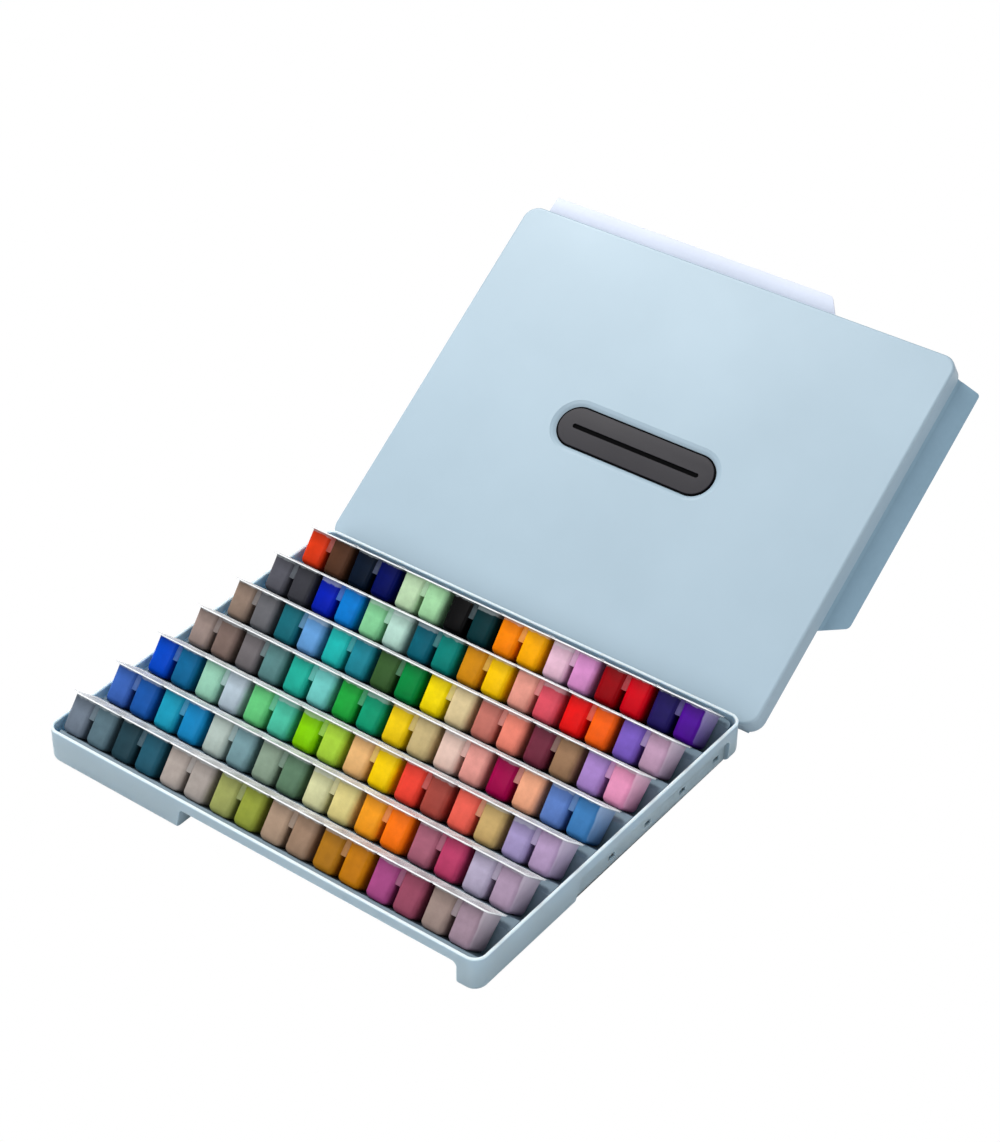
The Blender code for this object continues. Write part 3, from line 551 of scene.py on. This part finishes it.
# Mesh helpers
def rounded(corners, radii, steps):
    """The outline of a polygon whose corners are arcs."""
    points = []
    for index, corner in enumerate(corners):
        corner = Vector(corner)
        if not radii[index]:
            points.append(corner)
            continue
        before = (Vector(corners[index - 1]) - corner).normalized()
        after = (Vector(corners[(index + 1) % len(corners)]) - corner).normalized()
        half = before.angle(after) / 2
        reach = radii[index] / math.tan(half)
        centre = corner + (before + after).normalized() * (radii[index] / math.sin(half))
        start = corner + before * reach - centre
        end = corner + after * reach - centre
        first = math.atan2(start.y, start.x)
        sweep = math.remainder(math.atan2(end.y, end.x) - first, math.tau)
        for step in range(steps + 1):
            angle = first + sweep * step / steps
            points.append(centre + radii[index] * Vector((math.cos(angle), math.sin(angle))))
    return points


def rectangle(width, depth, radius, steps=BODY_STEPS, middle=(0, 0)):
    """A round-cornered rectangle about a point."""
    x, y = width / 2, depth / 2
    outline = rounded([(-x, -y), (x, -y), (x, y), (-x, y)], [radius] * 4, steps)
    return [point + Vector(middle) for point in outline]


def stadium(length, width, steps):
    """Two half circles joined by straight sides, about the lid's middle."""
    x, radius = (length - width) / 2, width / 2
    points = []
    for side in (1, -1):
        for step in range(steps + 1):
            angle = math.pi * step / steps - math.pi / 2
            point = Vector((side * (x + radius * math.cos(angle)), side * radius * math.sin(angle)))
            points.append(point + LID_MIDDLE)
    return points


def quarter(radius, steps):
    """The insets and drops of a rounded edge, from its side up to its top."""
    for step in range(steps + 1):
        angle = math.pi / 2 * step / steps
        yield radius * (1 - math.cos(angle)), radius * (1 - math.sin(angle))


def loft(rings, bm=None):
    """A closed body through rings of equal point counts, with its points, side faces and ends by ring."""
    bm = bm or bmesh.new()
    rows = [[bm.verts.new((*point, z)) for point in outline] for outline, z in rings]
    bands = []
    for lower, upper in zip(rows, rows[1:]):
        lower_next, upper_next = lower[1:] + lower[:1], upper[1:] + upper[:1]
        bands.append([bm.faces.new(corners) for corners in zip(lower, lower_next, upper_next, upper)])
    caps = [bm.faces.new(reversed(rows[0])), bm.faces.new(rows[-1])]
    return bm, rows, bands, caps


def prism(outline, low, high):
    """An outline extruded straight up."""
    return loft([(outline, low), (outline, high)])[0]


def moved(bm, matrix):
    """The same mesh after a matrix."""
    bmesh.ops.transform(bm, matrix=matrix, verts=bm.verts)
    return bm


def axes(x_axis, y_axis, z_axis, origin=(0, 0, 0)):
    """A matrix from three axes and an origin."""
    matrix = Matrix((x_axis, y_axis, z_axis)).transposed().to_4x4()
    matrix.translation = origin
    return matrix


def box(low, high):
    """A box between two corners."""
    outline = [(low[0], low[1]), (high[0], low[1]), (high[0], high[1]), (low[0], high[1])]
    return prism(outline, low[2], high[2])


def make(name, bm, *materials):
    """An object from a mesh, its faces outwards."""
    bmesh.ops.recalc_face_normals(bm, faces=bm.faces)
    mesh = bpy.data.meshes.new(name)
    bm.to_mesh(mesh)
    bm.free()
    item = bpy.data.objects.new(name, mesh)
    bpy.context.scene.collection.objects.link(item)
    for material in materials:
        mesh.materials.append(material)
    return item


def combine(target, tool, operation="DIFFERENCE"):
    """Applies one Boolean and removes the tool."""
    modifier = target.modifiers.new("combine", "BOOLEAN")
    modifier.operation = operation
    modifier.solver = "EXACT"
    modifier.object = tool
    mesh = bpy.data.meshes.new_from_object(target.evaluated_get(bpy.context.evaluated_depsgraph_get()))
    target.modifiers.clear()
    target.data = mesh
    bpy.data.objects.remove(tool)


def finished(item, material, body, nodes, bevel=0.0, segments=3, angle=40, flat=False):
    """Cleans, rounds and shades a piece, gives it its look, and lets it ride on its body."""
    bm = bmesh.new()
    bm.from_mesh(item.data)
    bmesh.ops.remove_doubles(bm, verts=bm.verts, dist=WELD_DISTANCE)
    bmesh.ops.dissolve_limit(bm, angle_limit=FLAT_ANGLE, verts=bm.verts, edges=bm.edges)
    bm.to_mesh(item.data)
    bm.free()
    item.data.materials.clear()
    item.data.materials.append(material)
    item.data.shade_smooth()
    if bevel:
        modifier = item.modifiers.new("edges", "BEVEL")
        modifier.width = bevel
        modifier.segments = segments
        modifier.limit_method = "ANGLE"
        modifier.angle_limit = math.radians(angle)
        modifier.harden_normals = True
    else:
        item.data.set_sharp_from_angle(angle=math.radians(angle))
    if flat:
        modifier = item.modifiers.new("normals", "WEIGHTED_NORMAL")
        modifier.weight = 100
        modifier.keep_sharp = True
    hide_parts(*nodes)
    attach(item, body)


# Case
def case_body(name, levels):
    """A body with the case's outline, drawn in by an inset at each height."""
    rings = []
    for inset, height in levels:
        outline = rectangle(CASE_WIDTH - 2 * inset, CASE_DEPTH - 2 * inset, CASE_CORNER_RADIUS - inset)
        rings.append((outline, height))
    return make(name, loft(rings)[0])


def recess(side, grow):
    """One latch recess, or the same grown by the wall, at its side of the case."""
    if side % 2 == 0:
        along, inward, far_margin = CASE_WIDTH, CASE_DEPTH / 2, RECESS_FAR_MARGIN_LONG
        depth, lean = FRONT_RECESS_DEPTH, FRONT_RECESS_LEAN
    else:
        along, inward, far_margin = CASE_DEPTH, CASE_WIDTH / 2, RECESS_FAR_MARGIN_SHORT
        depth, lean = SIDE_RECESS_DEPTH, 0.0
    start, end, top = -along / 2 + far_margin - grow, along / 2 - RECESS_NEAR_MARGIN + grow, BAND_Z + grow
    run = (top + OVERRUN) * math.tan(lean)
    back = depth + grow / math.cos(lean) - grow * math.tan(lean)
    section = [(-OVERRUN, -OVERRUN), (back + run, -OVERRUN), (back, top), (-OVERRUN, top)]
    body = prism(section, start - RECESS_SLANT, end + RECESS_SLANT)
    solid = make("recess", moved(body, axes((0, 1, 0), (0, 0, 1), (1, 0, 0))))
    face = [(start - RECESS_SLANT, -OVERRUN), (end, -OVERRUN), (end, top), (start, top)]
    outline = rounded(face, [RECESS_FOOT_ROUND, RECESS_FOOT_ROUND, RECESS_ROUND, RECESS_ROUND], RECESS_STEPS)
    mask = moved(prism(outline, -back - run - OVERRUN, 2 * OVERRUN), axes((1, 0, 0), (0, 0, 1), (0, -1, 0)))
    combine(solid, make("mask", mask), "INTERSECT")
    solid.data.transform(Matrix.Rotation(side * math.pi / 2, 4, "Z") @ Matrix.Translation((0, -inward, 0)))
    return solid


def row_matrix(row):
    """A row's own axes: X along it, Y across its flanges towards the back, Z out of the cups."""
    y = -CASE_DEPTH / 2 + FIRST_CREST_INSET + row * ROW_PITCH
    return Matrix.Translation((ROW_CENTRE_X, y, CREST_Z)) @ Matrix.Rotation(-ROW_LEAN, 4, "X")


def cut_notches(item):
    """Small notches in the side recesses, at the feet of the rows."""
    near = CASE_DEPTH / 2 - RECESS_NEAR_MARGIN - NOTCH_WIDTH
    far = CASE_DEPTH / 2 - RECESS_FAR_MARGIN_SHORT - NOTCH_WIDTH
    outer = CASE_WIDTH / 2 - SIDE_RECESS_DEPTH + NOTCH_OVERRUN
    inner = CASE_WIDTH / 2 - SIDE_RECESS_DEPTH - RECESS_WALL - NOTCH_OVERRUN
    for row in range(ROW_COUNT):
        y = (row_matrix(row) @ Vector((0, CUP_ACROSS, -CUP_DEPTH))).y
        for side, low, high in ((1, -far, near), (-1, -near, far)):
            if low < y < high:
                left, right = sorted((side * inner, side * outer))
                combine(item, make("notch", box((left, y - NOTCH_WIDTH / 2, NOTCH_SILL),
                                                (right, y + NOTCH_WIDTH / 2, NOTCH_SILL + NOTCH_HEIGHT))))


def case(material):
    """The case, with a round rim, softened recess edges and small notches in its sides."""
    rim = list(quarter(RIM_ROUND, RIM_STEPS))
    foot = [(drop, inset) for inset, drop in quarter(CASE_FOOT_RADIUS, EDGE_STEPS)]
    item = case_body("case", foot + [(inset, CASE_HEIGHT - drop) for inset, drop in rim])
    cavity = case_body("cavity", [(CASE_WALL, CASE_FLOOR)]
                       + [(CASE_WALL - inset, CASE_HEIGHT - drop) for inset, drop in rim]
                       + [(CASE_WALL - RIM_ROUND, CASE_HEIGHT + OVERRUN)])
    for side in range(4):
        combine(cavity, recess(side, RECESS_WALL))
        combine(item, recess(side, 0.0))
    combine(item, cavity)
    cut_notches(item)
    finished(item, material, "case", ["case_shell"], bevel=CASE_BEVEL)


# Cups
def twin_centre(index):
    """The middle of a twin along its row."""
    return (index + 0.5) * TWIN_LENGTH - ROW_LENGTH / 2


def cup_outline(x, deep, shrink, radius):
    """A cup's outline at a depth, drawn in by an amount."""
    share = deep / CUP_DEPTH
    width = CUP_WIDTH - 2 * CUP_TAPER * share - 2 * shrink
    across = CUP_ACROSS - 2 * CUP_TAPER_ACROSS * share - 2 * shrink
    return rectangle(width, across, max(radius, CUP_SMALLEST_CORNER), CUP_STEPS, (x, FLANGE_DEPTH / 2))


def half_flange(centre, side, shrink):
    """One cup's half of a flange, round at the moulding's own corners."""
    left, right = sorted((centre, centre + side * (TWIN_LENGTH / 2 - FLANGE_PARTING - shrink)))
    low, high = shrink, FLANGE_DEPTH - shrink
    sharp, soft = SHARP_CORNER, FLANGE_CORNER - shrink
    radii = [sharp, soft, soft, sharp] if side > 0 else [soft, sharp, sharp, soft]
    return rounded([(left, low), (right, low), (right, high), (left, high)], radii, CUP_STEPS)


def cup_rings(x, centre, side, fill):
    """A cup's outlines from the middle of its paint, over its half of the flange, down to its foot."""
    inner = CUP_CORNER - CUP_WALL
    middle, edge = CUP_WALL + PAINT_MIDDLE_INSET, CUP_WALL + PAINT_EDGE_INSET
    rings = [(cup_outline(x, fill, middle, PAINT_MIDDLE_CORNER), -fill + 2 * PAINT_SKIN),
             (cup_outline(x, fill, edge, inner), -fill + PAINT_SKIN),
             (cup_outline(x, fill, CUP_WALL, inner), -fill - PAINT_SKIN),
             (cup_outline(x, MOUTH_DEPTH, CUP_WALL, inner), -MOUTH_DEPTH),
             (cup_outline(x, 0, CUP_WALL - MOUTH_FLARE, inner), -MOUTH_DIP),
             (cup_outline(x, 0, CUP_WALL - 2 * MOUTH_FLARE, inner), 0.0),
             (half_flange(centre, side, FLANGE_ROUND), 0.0),
             (half_flange(centre, side, 0.0), -FLANGE_ROUND),
             (half_flange(centre, side, 0.0), -FLANGE_THICKNESS + FLANGE_ROUND),
             (half_flange(centre, side, FLANGE_ROUND), -FLANGE_THICKNESS),
             (cup_outline(x, 0, -CUP_FILLET, CUP_CORNER), -FLANGE_THICKNESS),
             (cup_outline(x, 0, 0.0, CUP_CORNER), -FLANGE_THICKNESS - CUP_FILLET)]
    for share in CUP_WALL_SHARES:
        deep = FLANGE_THICKNESS + share * (CUP_DEPTH - CUP_FOOT - FLANGE_THICKNESS)
        rings.append((cup_outline(x, deep, 0.0, CUP_CORNER), -deep))
    for shrink, rise in quarter(CUP_FOOT, SMALL_EDGE_STEPS):
        deep = CUP_DEPTH - rise
        rings.append((cup_outline(x, deep, shrink, CUP_CORNER - shrink * CUP_FOOT_CORNER_SHARE), -deep))
    for rise in (0.0, DIMPLE_DEPTH):
        foot = cup_outline(x, CUP_DEPTH, CUP_FOOT + DIMPLE_INSET + rise, DIMPLE_CORNER)
        rings.append((foot, -CUP_DEPTH + rise))
    return rings


def add_cup(bm, centre, side, colour, fill, layers):
    """One filled cup, with what its looks need to know at each point."""
    x = centre + side * CUP_PITCH / 2
    _, rows, bands, caps = loft(cup_rings(x, centre, side, fill), bm)
    looks = [PAINT_LOOK] * PAINT_BANDS + [FLANGE_LOOK] * FLANGE_BANDS
    looks += [CUP_LOOK] * (len(bands) - len(looks))
    for look, band in zip(looks + [PAINT_LOOK, CUP_LOOK], bands + [caps[:1], caps[1:]]):
        for face in band:
            face.material_index = look
    # The last cup of a row carries painted light up its right side, stronger towards the top.
    last = x > ROW_LENGTH / 2 - CUP_WIDTH
    painted_side_light_start = x + CUP_WIDTH / 2 - SIDE_LIGHT_REACH if last else math.inf
    paint, above, painted_side_light = layers
    for vert in (vert for row in rows for vert in row):
        vert[paint] = (*colour, 1.0)
        vert[above] = vert.co.z + fill
        vert[painted_side_light] = SIDE_LIGHT_FOOT + SIDE_LIGHT_RISE * (1 + vert.co.z / CUP_DEPTH) if vert.co.x > painted_side_light_start else 0.0


def add_web(bm, centre, colours, paint):
    """The tab between the two cups of a twin."""
    width = CUP_SPACING + 2 * WEB_OVERLAP
    outline = rectangle(width, WEB_THICKNESS, WEB_ROUND, WEB_STEPS, (centre, WEB_INSET + WEB_THICKNESS / 2))
    _, rows, bands, caps = loft([(outline, -WEB_HEIGHT), (outline, -FLANGE_THICKNESS + WEB_SINK)], bm)
    for face in bands[0] + caps:
        face.material_index = WEB_LOOK
    tint = (*[WEB_TINT * (left + right) for left, right in zip(*colours)], 1.0)
    for vert in rows[0] + rows[1]:
        vert[paint] = tint


def row_of_cups(row, materials):
    """A row's cups with flanges and webs."""
    bm = bmesh.new()
    layers = (bm.verts.layers.float_color.new("paint"), bm.verts.layers.float.new("above"),
              bm.verts.layers.float.new("painted_side_light"))
    chance = random.Random(row)
    for index in range(TWINS_PER_ROW):
        centre = twin_centre(index)
        colours = [linear(PAINTS[name]) for name in ROWS[row][2 * index:2 * index + 2]]
        for side, colour in zip((-1, 1), colours):
            add_cup(bm, centre, side, colour, chance.choice(PAINT_DEPTHS), layers)
        add_web(bm, centre, colours, layers[0])
    moved(bm, row_matrix(row))
    item = make(f"row_{row + 1}_cups", bm, *materials)
    item.data.shade_smooth()
    item.data.set_sharp_from_angle(angle=CUP_SMOOTH_ANGLE)
    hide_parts(f"cups_row_{row + 1}")
    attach(item, f"row_{row + 1}")


# Films
def film_grid(bm, centre, height, phase, lift):
    """One side of a film as a grid of points, a little wavy and lifted at its front corners."""
    grid = []
    for line in range(FILM_LINES + 1):
        across = FLANGE_DEPTH * line / FILM_LINES
        edge = max(0.0, 1 - across / FILM_CORNER_REACH)
        strip = []
        for column in range(FILM_COLUMNS + 1):
            share = column / FILM_COLUMNS
            corner = abs(2 * share - 1) ** FILM_CORNER_POWER
            wave = FILM_WAVE * (1 + math.sin(share * FILM_WAVE_ANGLE + phase)) + lift * corner * edge
            x = centre + (share - 0.5) * (TWIN_LENGTH - FILM_MARGIN)
            strip.append(bm.verts.new((x, across, height + wave)))
        grid.append(strip)
    return grid


def add_film(bm, centre, phase, lift):
    """One film: its lower and upper sides and the edge between them."""
    low = film_grid(bm, centre, FILM_LIFT, phase, lift)
    high = film_grid(bm, centre, FILM_LIFT + FILM_SHEET, phase, lift)
    for line in range(FILM_LINES):
        for column in range(FILM_COLUMNS):
            for grid, order in ((low, -1), (high, 1)):
                corners = (grid[line][column], grid[line][column + 1],
                           grid[line + 1][column + 1], grid[line + 1][column])
                bm.faces.new(corners[::order]).material_index = FILM_LOOK
    rim = ([(0, column) for column in range(FILM_COLUMNS)]
           + [(line, FILM_COLUMNS) for line in range(FILM_LINES)]
           + [(FILM_LINES, column) for column in range(FILM_COLUMNS, 0, -1)]
           + [(line, 0) for line in range(FILM_LINES, 0, -1)])
    for (line, column), (next_line, next_column) in zip(rim, rim[1:] + rim[:1]):
        face = bm.faces.new((low[line][column], low[next_line][next_column],
                             high[next_line][next_column], high[line][column]))
        face.material_index = FILM_EDGE_LOOK


def row_of_films(row, materials):
    """The peel-off films of a row."""
    bm = bmesh.new()
    chance = random.Random(FILM_SEED + row)
    for index in range(TWINS_PER_ROW):
        phase = chance.uniform(0, math.tau)
        add_film(bm, twin_centre(index), phase, lift=chance.choice(FILM_CORNER_LIFTS))
    moved(bm, row_matrix(row))
    item = make(f"row_{row + 1}_films", bm, *materials)
    item.data.shade_smooth()
    item.data.set_sharp_from_angle(angle=FILM_SMOOTH_ANGLE)
    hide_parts(f"film_row_{row + 1}")
    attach(item, f"row_{row + 1}")


# Lid
def lid_ring(inset, height):
    """One level of the lid, drawn in from its outer wall."""
    return rectangle(LID_WIDTH - 2 * inset, LID_DEPTH - 2 * inset, LID_CORNER_RADIUS - inset,
                     middle=LID_MIDDLE), height


def long_body(name, length, width, steps, levels):
    """A body with round ends in the lid's middle, let out by an amount at each height."""
    rings = [(stadium(length + 2 * grow, width + 2 * grow, steps), height) for grow, height in levels]
    return make(name, loft(rings)[0])


def flap_span(out):
    """Where a flap starts along its side of the lid, and its length."""
    if out.x:
        return FLAP_START, LID_DEPTH - FLAP_START - FLAP_END_SHORT
    return FLAP_START, LID_WIDTH - FLAP_START - FLAP_END_LONG


def hinge_matrix(out):
    """A closed flap's place in the lid."""
    span, reach = (LID_DEPTH, LID_WIDTH) if out.x else (LID_WIDTH, LID_DEPTH)
    down = Vector((0, 0, -1))
    along = down.cross(out)
    origin = LID_MIDDLE.to_3d() + out * (reach / 2 - PIVOT_INSET) + along * (flap_span(out)[0] - span / 2)
    return axes(along, down, out, origin)


def add_dish(item):
    """The soft dish for the grip plate, with a wall under it."""
    boss = [(GAP + LID_WALL, DISH_FLOOR - DISH_WALL),
            (GAP + LID_WALL + DISH_SLOPE, LID_CEILING + LID_WALL / 2)]
    combine(item, long_body("boss", PLATE_LENGTH, PLATE_WIDTH, DISH_STEPS, boss), "UNION")
    edge = LID_TOP - DISH_EDGE
    hollow = [(GAP, DISH_FLOOR), (GAP, LID_TOP - DISH_LIP),
              (GAP + DISH_SLOPE * DISH_WALL_SHARE, edge - DISH_EDGE_ROUND),
              (GAP + DISH_SLOPE * DISH_EDGE_SHARE, edge),
              (GAP + DISH_SLOPE * DISH_BRIM_SHARE, LID_TOP - DISH_BRIM_DROP),
              (GAP + DISH_SLOPE, LID_TOP + OVERRUN)]
    combine(item, long_body("dish", PLATE_LENGTH, PLATE_WIDTH, DISH_STEPS, hollow))


def lid(material):
    """The lid with a rounded face edge, a soft dish and the seat rib inside its skirt."""
    rib_inner = SEAT_INSET + SEAT_RIB_THICKNESS
    rings = [lid_ring(rib_inner, LID_CEILING), lid_ring(rib_inner, SEAT_Z), lid_ring(SEAT_INSET, SEAT_Z),
             lid_ring(SEAT_INSET, LID_CEILING), lid_ring(LID_WALL, LID_CEILING),
             lid_ring(LID_WALL, FLAP_DROP + SKIRT_ROUND), lid_ring(LID_WALL - SKIRT_ROUND, FLAP_DROP),
             lid_ring(SKIRT_ROUND, FLAP_DROP), lid_ring(0, FLAP_DROP + SKIRT_ROUND)]
    rings += [lid_ring(inset, LID_TOP - drop) for inset, drop in quarter(LID_EDGE_RADIUS, EDGE_STEPS)]
    item = make("lid", loft(rings)[0])
    add_dish(item)
    inner = PIVOT_INSET - (LID_WALL + SEAT_INSET) / 2
    for out, _, _ in FLAPS.values():
        window = box((-TUCK_MARGIN, -(FLAP_THICKNESS / 2 + TUCK_CLEARANCE), -FLAP_LENGTH - TUCK_MARGIN),
                     (flap_span(out)[1] + TUCK_MARGIN, OVERRUN - SEAT_Z, inner))
        combine(item, make("window", moved(window, hinge_matrix(out))))
    item.data.transform(LID_MATRIX)
    finished(item, material, "lid", ["lid_shell"], angle=13, flat=True)


def grip_plate(material, shadow_black):
    """The dark plate in the dish, with its stepped edge and long slot coloured black as painted shadow."""
    floor = DISH_FLOOR + GAP
    top = floor + PLATE_THICKNESS
    plate = [(0.0, floor), (0.0, floor + STEP_HEIGHT), (-STEP_WIDTH, floor + STEP_HEIGHT)]
    plate += [(-STEP_WIDTH - inset, top - drop) for inset, drop in quarter(PLATE_ROUND, SMALL_EDGE_STEPS)]
    item = long_body("plate", PLATE_LENGTH, PLATE_WIDTH, PLATE_STEPS, plate)
    slot = [(0.0, top - SLOT_DEPTH), (0.0, top - SLOT_CHAMFER),
            (SLOT_CHAMFER, top), (SLOT_CHAMFER, top + OVERRUN)]
    combine(item, long_body("slot", SLOT_LENGTH, SLOT_WIDTH, SLOT_STEPS, slot))
    item.data.transform(LID_MATRIX)
    finished(item, material, "lid", ["grip_plate"])
    item.data.materials.append(shadow_black)
    # Faces in the slot and on the plate's low step take the black, which is painted shadow.
    back = LID_MATRIX.inverted()
    for face in item.data.polygons:
        place = back @ face.center
        in_slot = (abs(place.x) < SLOT_LENGTH / 2 + TOLERANCE
                   and abs(place.y - LID_MIDDLE.y) < SLOT_WIDTH / 2 + TOLERANCE
                   and floor + TOLERANCE < place.z < top - WELD_DISTANCE)
        under = (back.to_3x3() @ face.normal).z < UNDERSIDE_NORMAL
        on_edge = place.z < top - PLATE_THICKNESS / 2 and not under
        face.material_index = int(in_slot or on_edge)


# Latch flaps
def flap_section(overhang):
    """A flap's root bead, thin hinge web, plate and hook: X down the flap, Y out of the lid."""
    half, web = FLAP_THICKNESS / 2, FLAP_WEB / 2
    tip = -(overhang - PIVOT_INSET + HOOK_REACH)
    lift = math.asin(web / FLAP_BEAD_RADIUS)
    angles = [lift + (math.tau - 2 * lift) * step / BEAD_STEPS for step in range(BEAD_STEPS + 1)]
    bead = [(FLAP_BEAD_RADIUS * math.cos(angle), FLAP_BEAD_RADIUS * math.sin(angle)) for angle in angles]
    end, ramp = FLAP_LENGTH + OVERRUN, FLAP_WEB_LENGTH + FLAP_WEB_RAMP
    return bead + [(FLAP_WEB_LENGTH, -web), (ramp, -half), (HOOK_START, -half), (HOOK_START, tip),
                   (HOOK_START + HOOK_THICKNESS / 2, tip), (HOOK_START + HOOK_THICKNESS, -half),
                   (end, -half), (end, half), (ramp, half), (FLAP_WEB_LENGTH, web)]


def flap(name, material):
    """One latch flap at the angle where it rests."""
    out, rest, body = FLAPS[name]
    start, length = flap_span(out)
    if out.x:
        overhang, span, over, margin = OVERHANG_X, LID_DEPTH, OVERHANG_Y, RECESS_FAR_MARGIN_SHORT
    else:
        overhang, span, over, margin = OVERHANG_Y, LID_WIDTH, OVERHANG_X, RECESS_FAR_MARGIN_LONG
    section = prism(flap_section(overhang), -OVERRUN, length + OVERRUN)
    item = make(name + "_piece", moved(section, axes((0, 1, 0), (0, 0, 1), (1, 0, 0))))
    deep = overhang + FLAP_LENGTH
    outline = rounded([(0, -OVERRUN), (length, -OVERRUN), (length - FLAP_END_SLANT, FLAP_LENGTH),
                       (0, FLAP_LENGTH)], [0, 0, FLAP_END_ROUND, FLAP_START_ROUND], BODY_STEPS)
    combine(item, make("outline", prism(outline, -deep, deep)), "INTERSECT")
    first = over + RECESS_NEAR_MARGIN + HOOK_END_MARGIN - start
    last = span - over - margin - HOOK_END_MARGIN - start
    for low, high in ((-OVERRUN, first), (last, length + OVERRUN)):
        trim = box((low, -OVERRUN, -deep), (high, FLAP_LENGTH + OVERRUN, -FLAP_THICKNESS / 2))
        combine(item, make("trim", trim))
    item.data.transform(LID_MATRIX @ hinge_matrix(out) @ Matrix.Rotation(rest, 4, "X"))
    finished(item, material, body, [name], bevel=FLAP_BEVEL, segments=2, angle=50)


# Stage
def seen_white(tree, plain, white):
    """A plain shader for the light, which the camera sees as a white one."""
    seen = add(tree, "ShaderNodeLightPath").outputs["Is Camera Ray"]
    return add(tree, "ShaderNodeMixShader", i0=seen, i1=plain.outputs[0], i2=white.outputs[0])


def stage():
    """A plain floor that the camera sees as white, and white surroundings."""
    material, tree = start_material("floor")
    plain = add(tree, "ShaderNodeBsdfDiffuse", Color=FLOOR_COLOUR)
    white = add(tree, "ShaderNodeEmission", Color=WHITE, Strength=1.0)
    show(tree, seen_white(tree, plain, white))
    slab = box((-FLOOR_REACH, -FLOOR_REACH, FLOOR_BOTTOM), (FLOOR_REACH, FLOOR_REACH, FLOOR_TOP))
    floor = make("floor", slab, material)
    world = bpy.data.worlds.new("surroundings")
    world.use_nodes = True
    tree = world.node_tree
    tree.nodes.clear()
    plain = add(tree, "ShaderNodeBackground", Color=SURROUND_COLOUR, Strength=SURROUND_STRENGTH)
    white = add(tree, "ShaderNodeBackground", Color=WHITE, Strength=1.0)
    show(tree, seen_white(tree, plain, white), "ShaderNodeOutputWorld")
    bpy.context.scene.world = world


def lamp(name, place, aim, size, power, colour):
    """A soft square lamp turned towards a point."""
    data = bpy.data.lights.new(name, "AREA")
    data.size = size
    data.energy = power
    data.color = colour
    item = bpy.data.objects.new(name, data)
    bpy.context.scene.collection.objects.link(item)
    item.location = place
    item.rotation_euler = (Vector(aim) - Vector(place)).to_track_quat("-Z", "Y").to_euler()


def camera():
    """The camera, from the photograph's own angle."""
    data = bpy.data.cameras.new("camera")
    data.lens = CAMERA_LENS
    data.sensor_width = CAMERA_SENSOR
    data.clip_start, data.clip_end = CAMERA_CLIP
    item = bpy.data.objects.new("camera", data)
    bpy.context.scene.collection.objects.link(item)
    item.matrix_world = axes(CAMERA_RIGHT, -CAMERA_DOWN, -CAMERA_FORWARD, CAMERA_PLACE)
    bpy.context.scene.camera = item


def main():
    """Builds and dresses all pieces, then sets up the stage."""
    # The case's rim colour is painted highlight along its top.
    shell = plastic("case_plastic", dark=(150, 168, 177), light=(158, 176, 185), rough=0.42,
                    rim=(208, 223, 231), milk=0.8)
    cover = plastic("lid_plastic", dark=(156, 177, 190), light=(162, 183, 196), rough=0.38, gloss=0.5)
    # The far flap's paler copy of the flap plastic is painted light, and the other flaps' darker copy is
    # painted shade.
    pale = plastic("lit_flap_plastic", dark=(200, 206, 222), light=(210, 216, 232), rough=0.5)
    deep = plastic("shaded_flap_plastic", dark=(132, 162, 180), light=(142, 172, 190), rough=0.5)
    # The bed is darker than the case as painted shade down among the cups.
    inner = plastic("bed_plastic", dark=(96, 116, 129), light=(106, 126, 139), rough=0.5)
    dark = plastic("grip_plastic", dark=(38, 36, 41), light=(46, 44, 49), rough=0.55,
                   grain=0.3, scuff_and_highlight=0.2, gloss=0.3)
    # Near-black for the grip plate's slot and step is painted shadow.
    shadow_black = plastic("grip_painted_shadow", dark=(2, 2, 3), light=(5, 5, 6), rough=0.8,
                     grain=0.2, scuff_and_highlight=0.0, gloss=0.05)
    flange = milky("flange_plastic", colour=(252, 253, 254), rough=0.35, opacity=0.97)
    cups = [cup_material(), flange, paint_material(), web_material()]
    films = [milky("film_plastic", colour=(250, 251, 252), rough=0.26, opacity=0.32, grain=0.12),
             milky("film_edge", colour=(254, 254, 255), rough=0.35, opacity=0.97)]
    case(shell)
    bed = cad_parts["cup_bed"]
    bed.data.materials.clear()
    bed.data.materials.append(inner)
    for row in range(ROW_COUNT):
        row_of_cups(row, cups)
        row_of_films(row, films)
    lid(cover)
    grip_plate(dark, shadow_black)
    for name in FLAPS:
        # The far flap gets the painted lit copy, the others the painted shaded copy.
        flap(name, pale if name == "flap_far" else deep)
    stage()
    for name, settings in LAMPS.items():
        lamp(name, *settings)
    camera()
    bpy.context.scene.view_settings.view_transform = "Standard"


main()
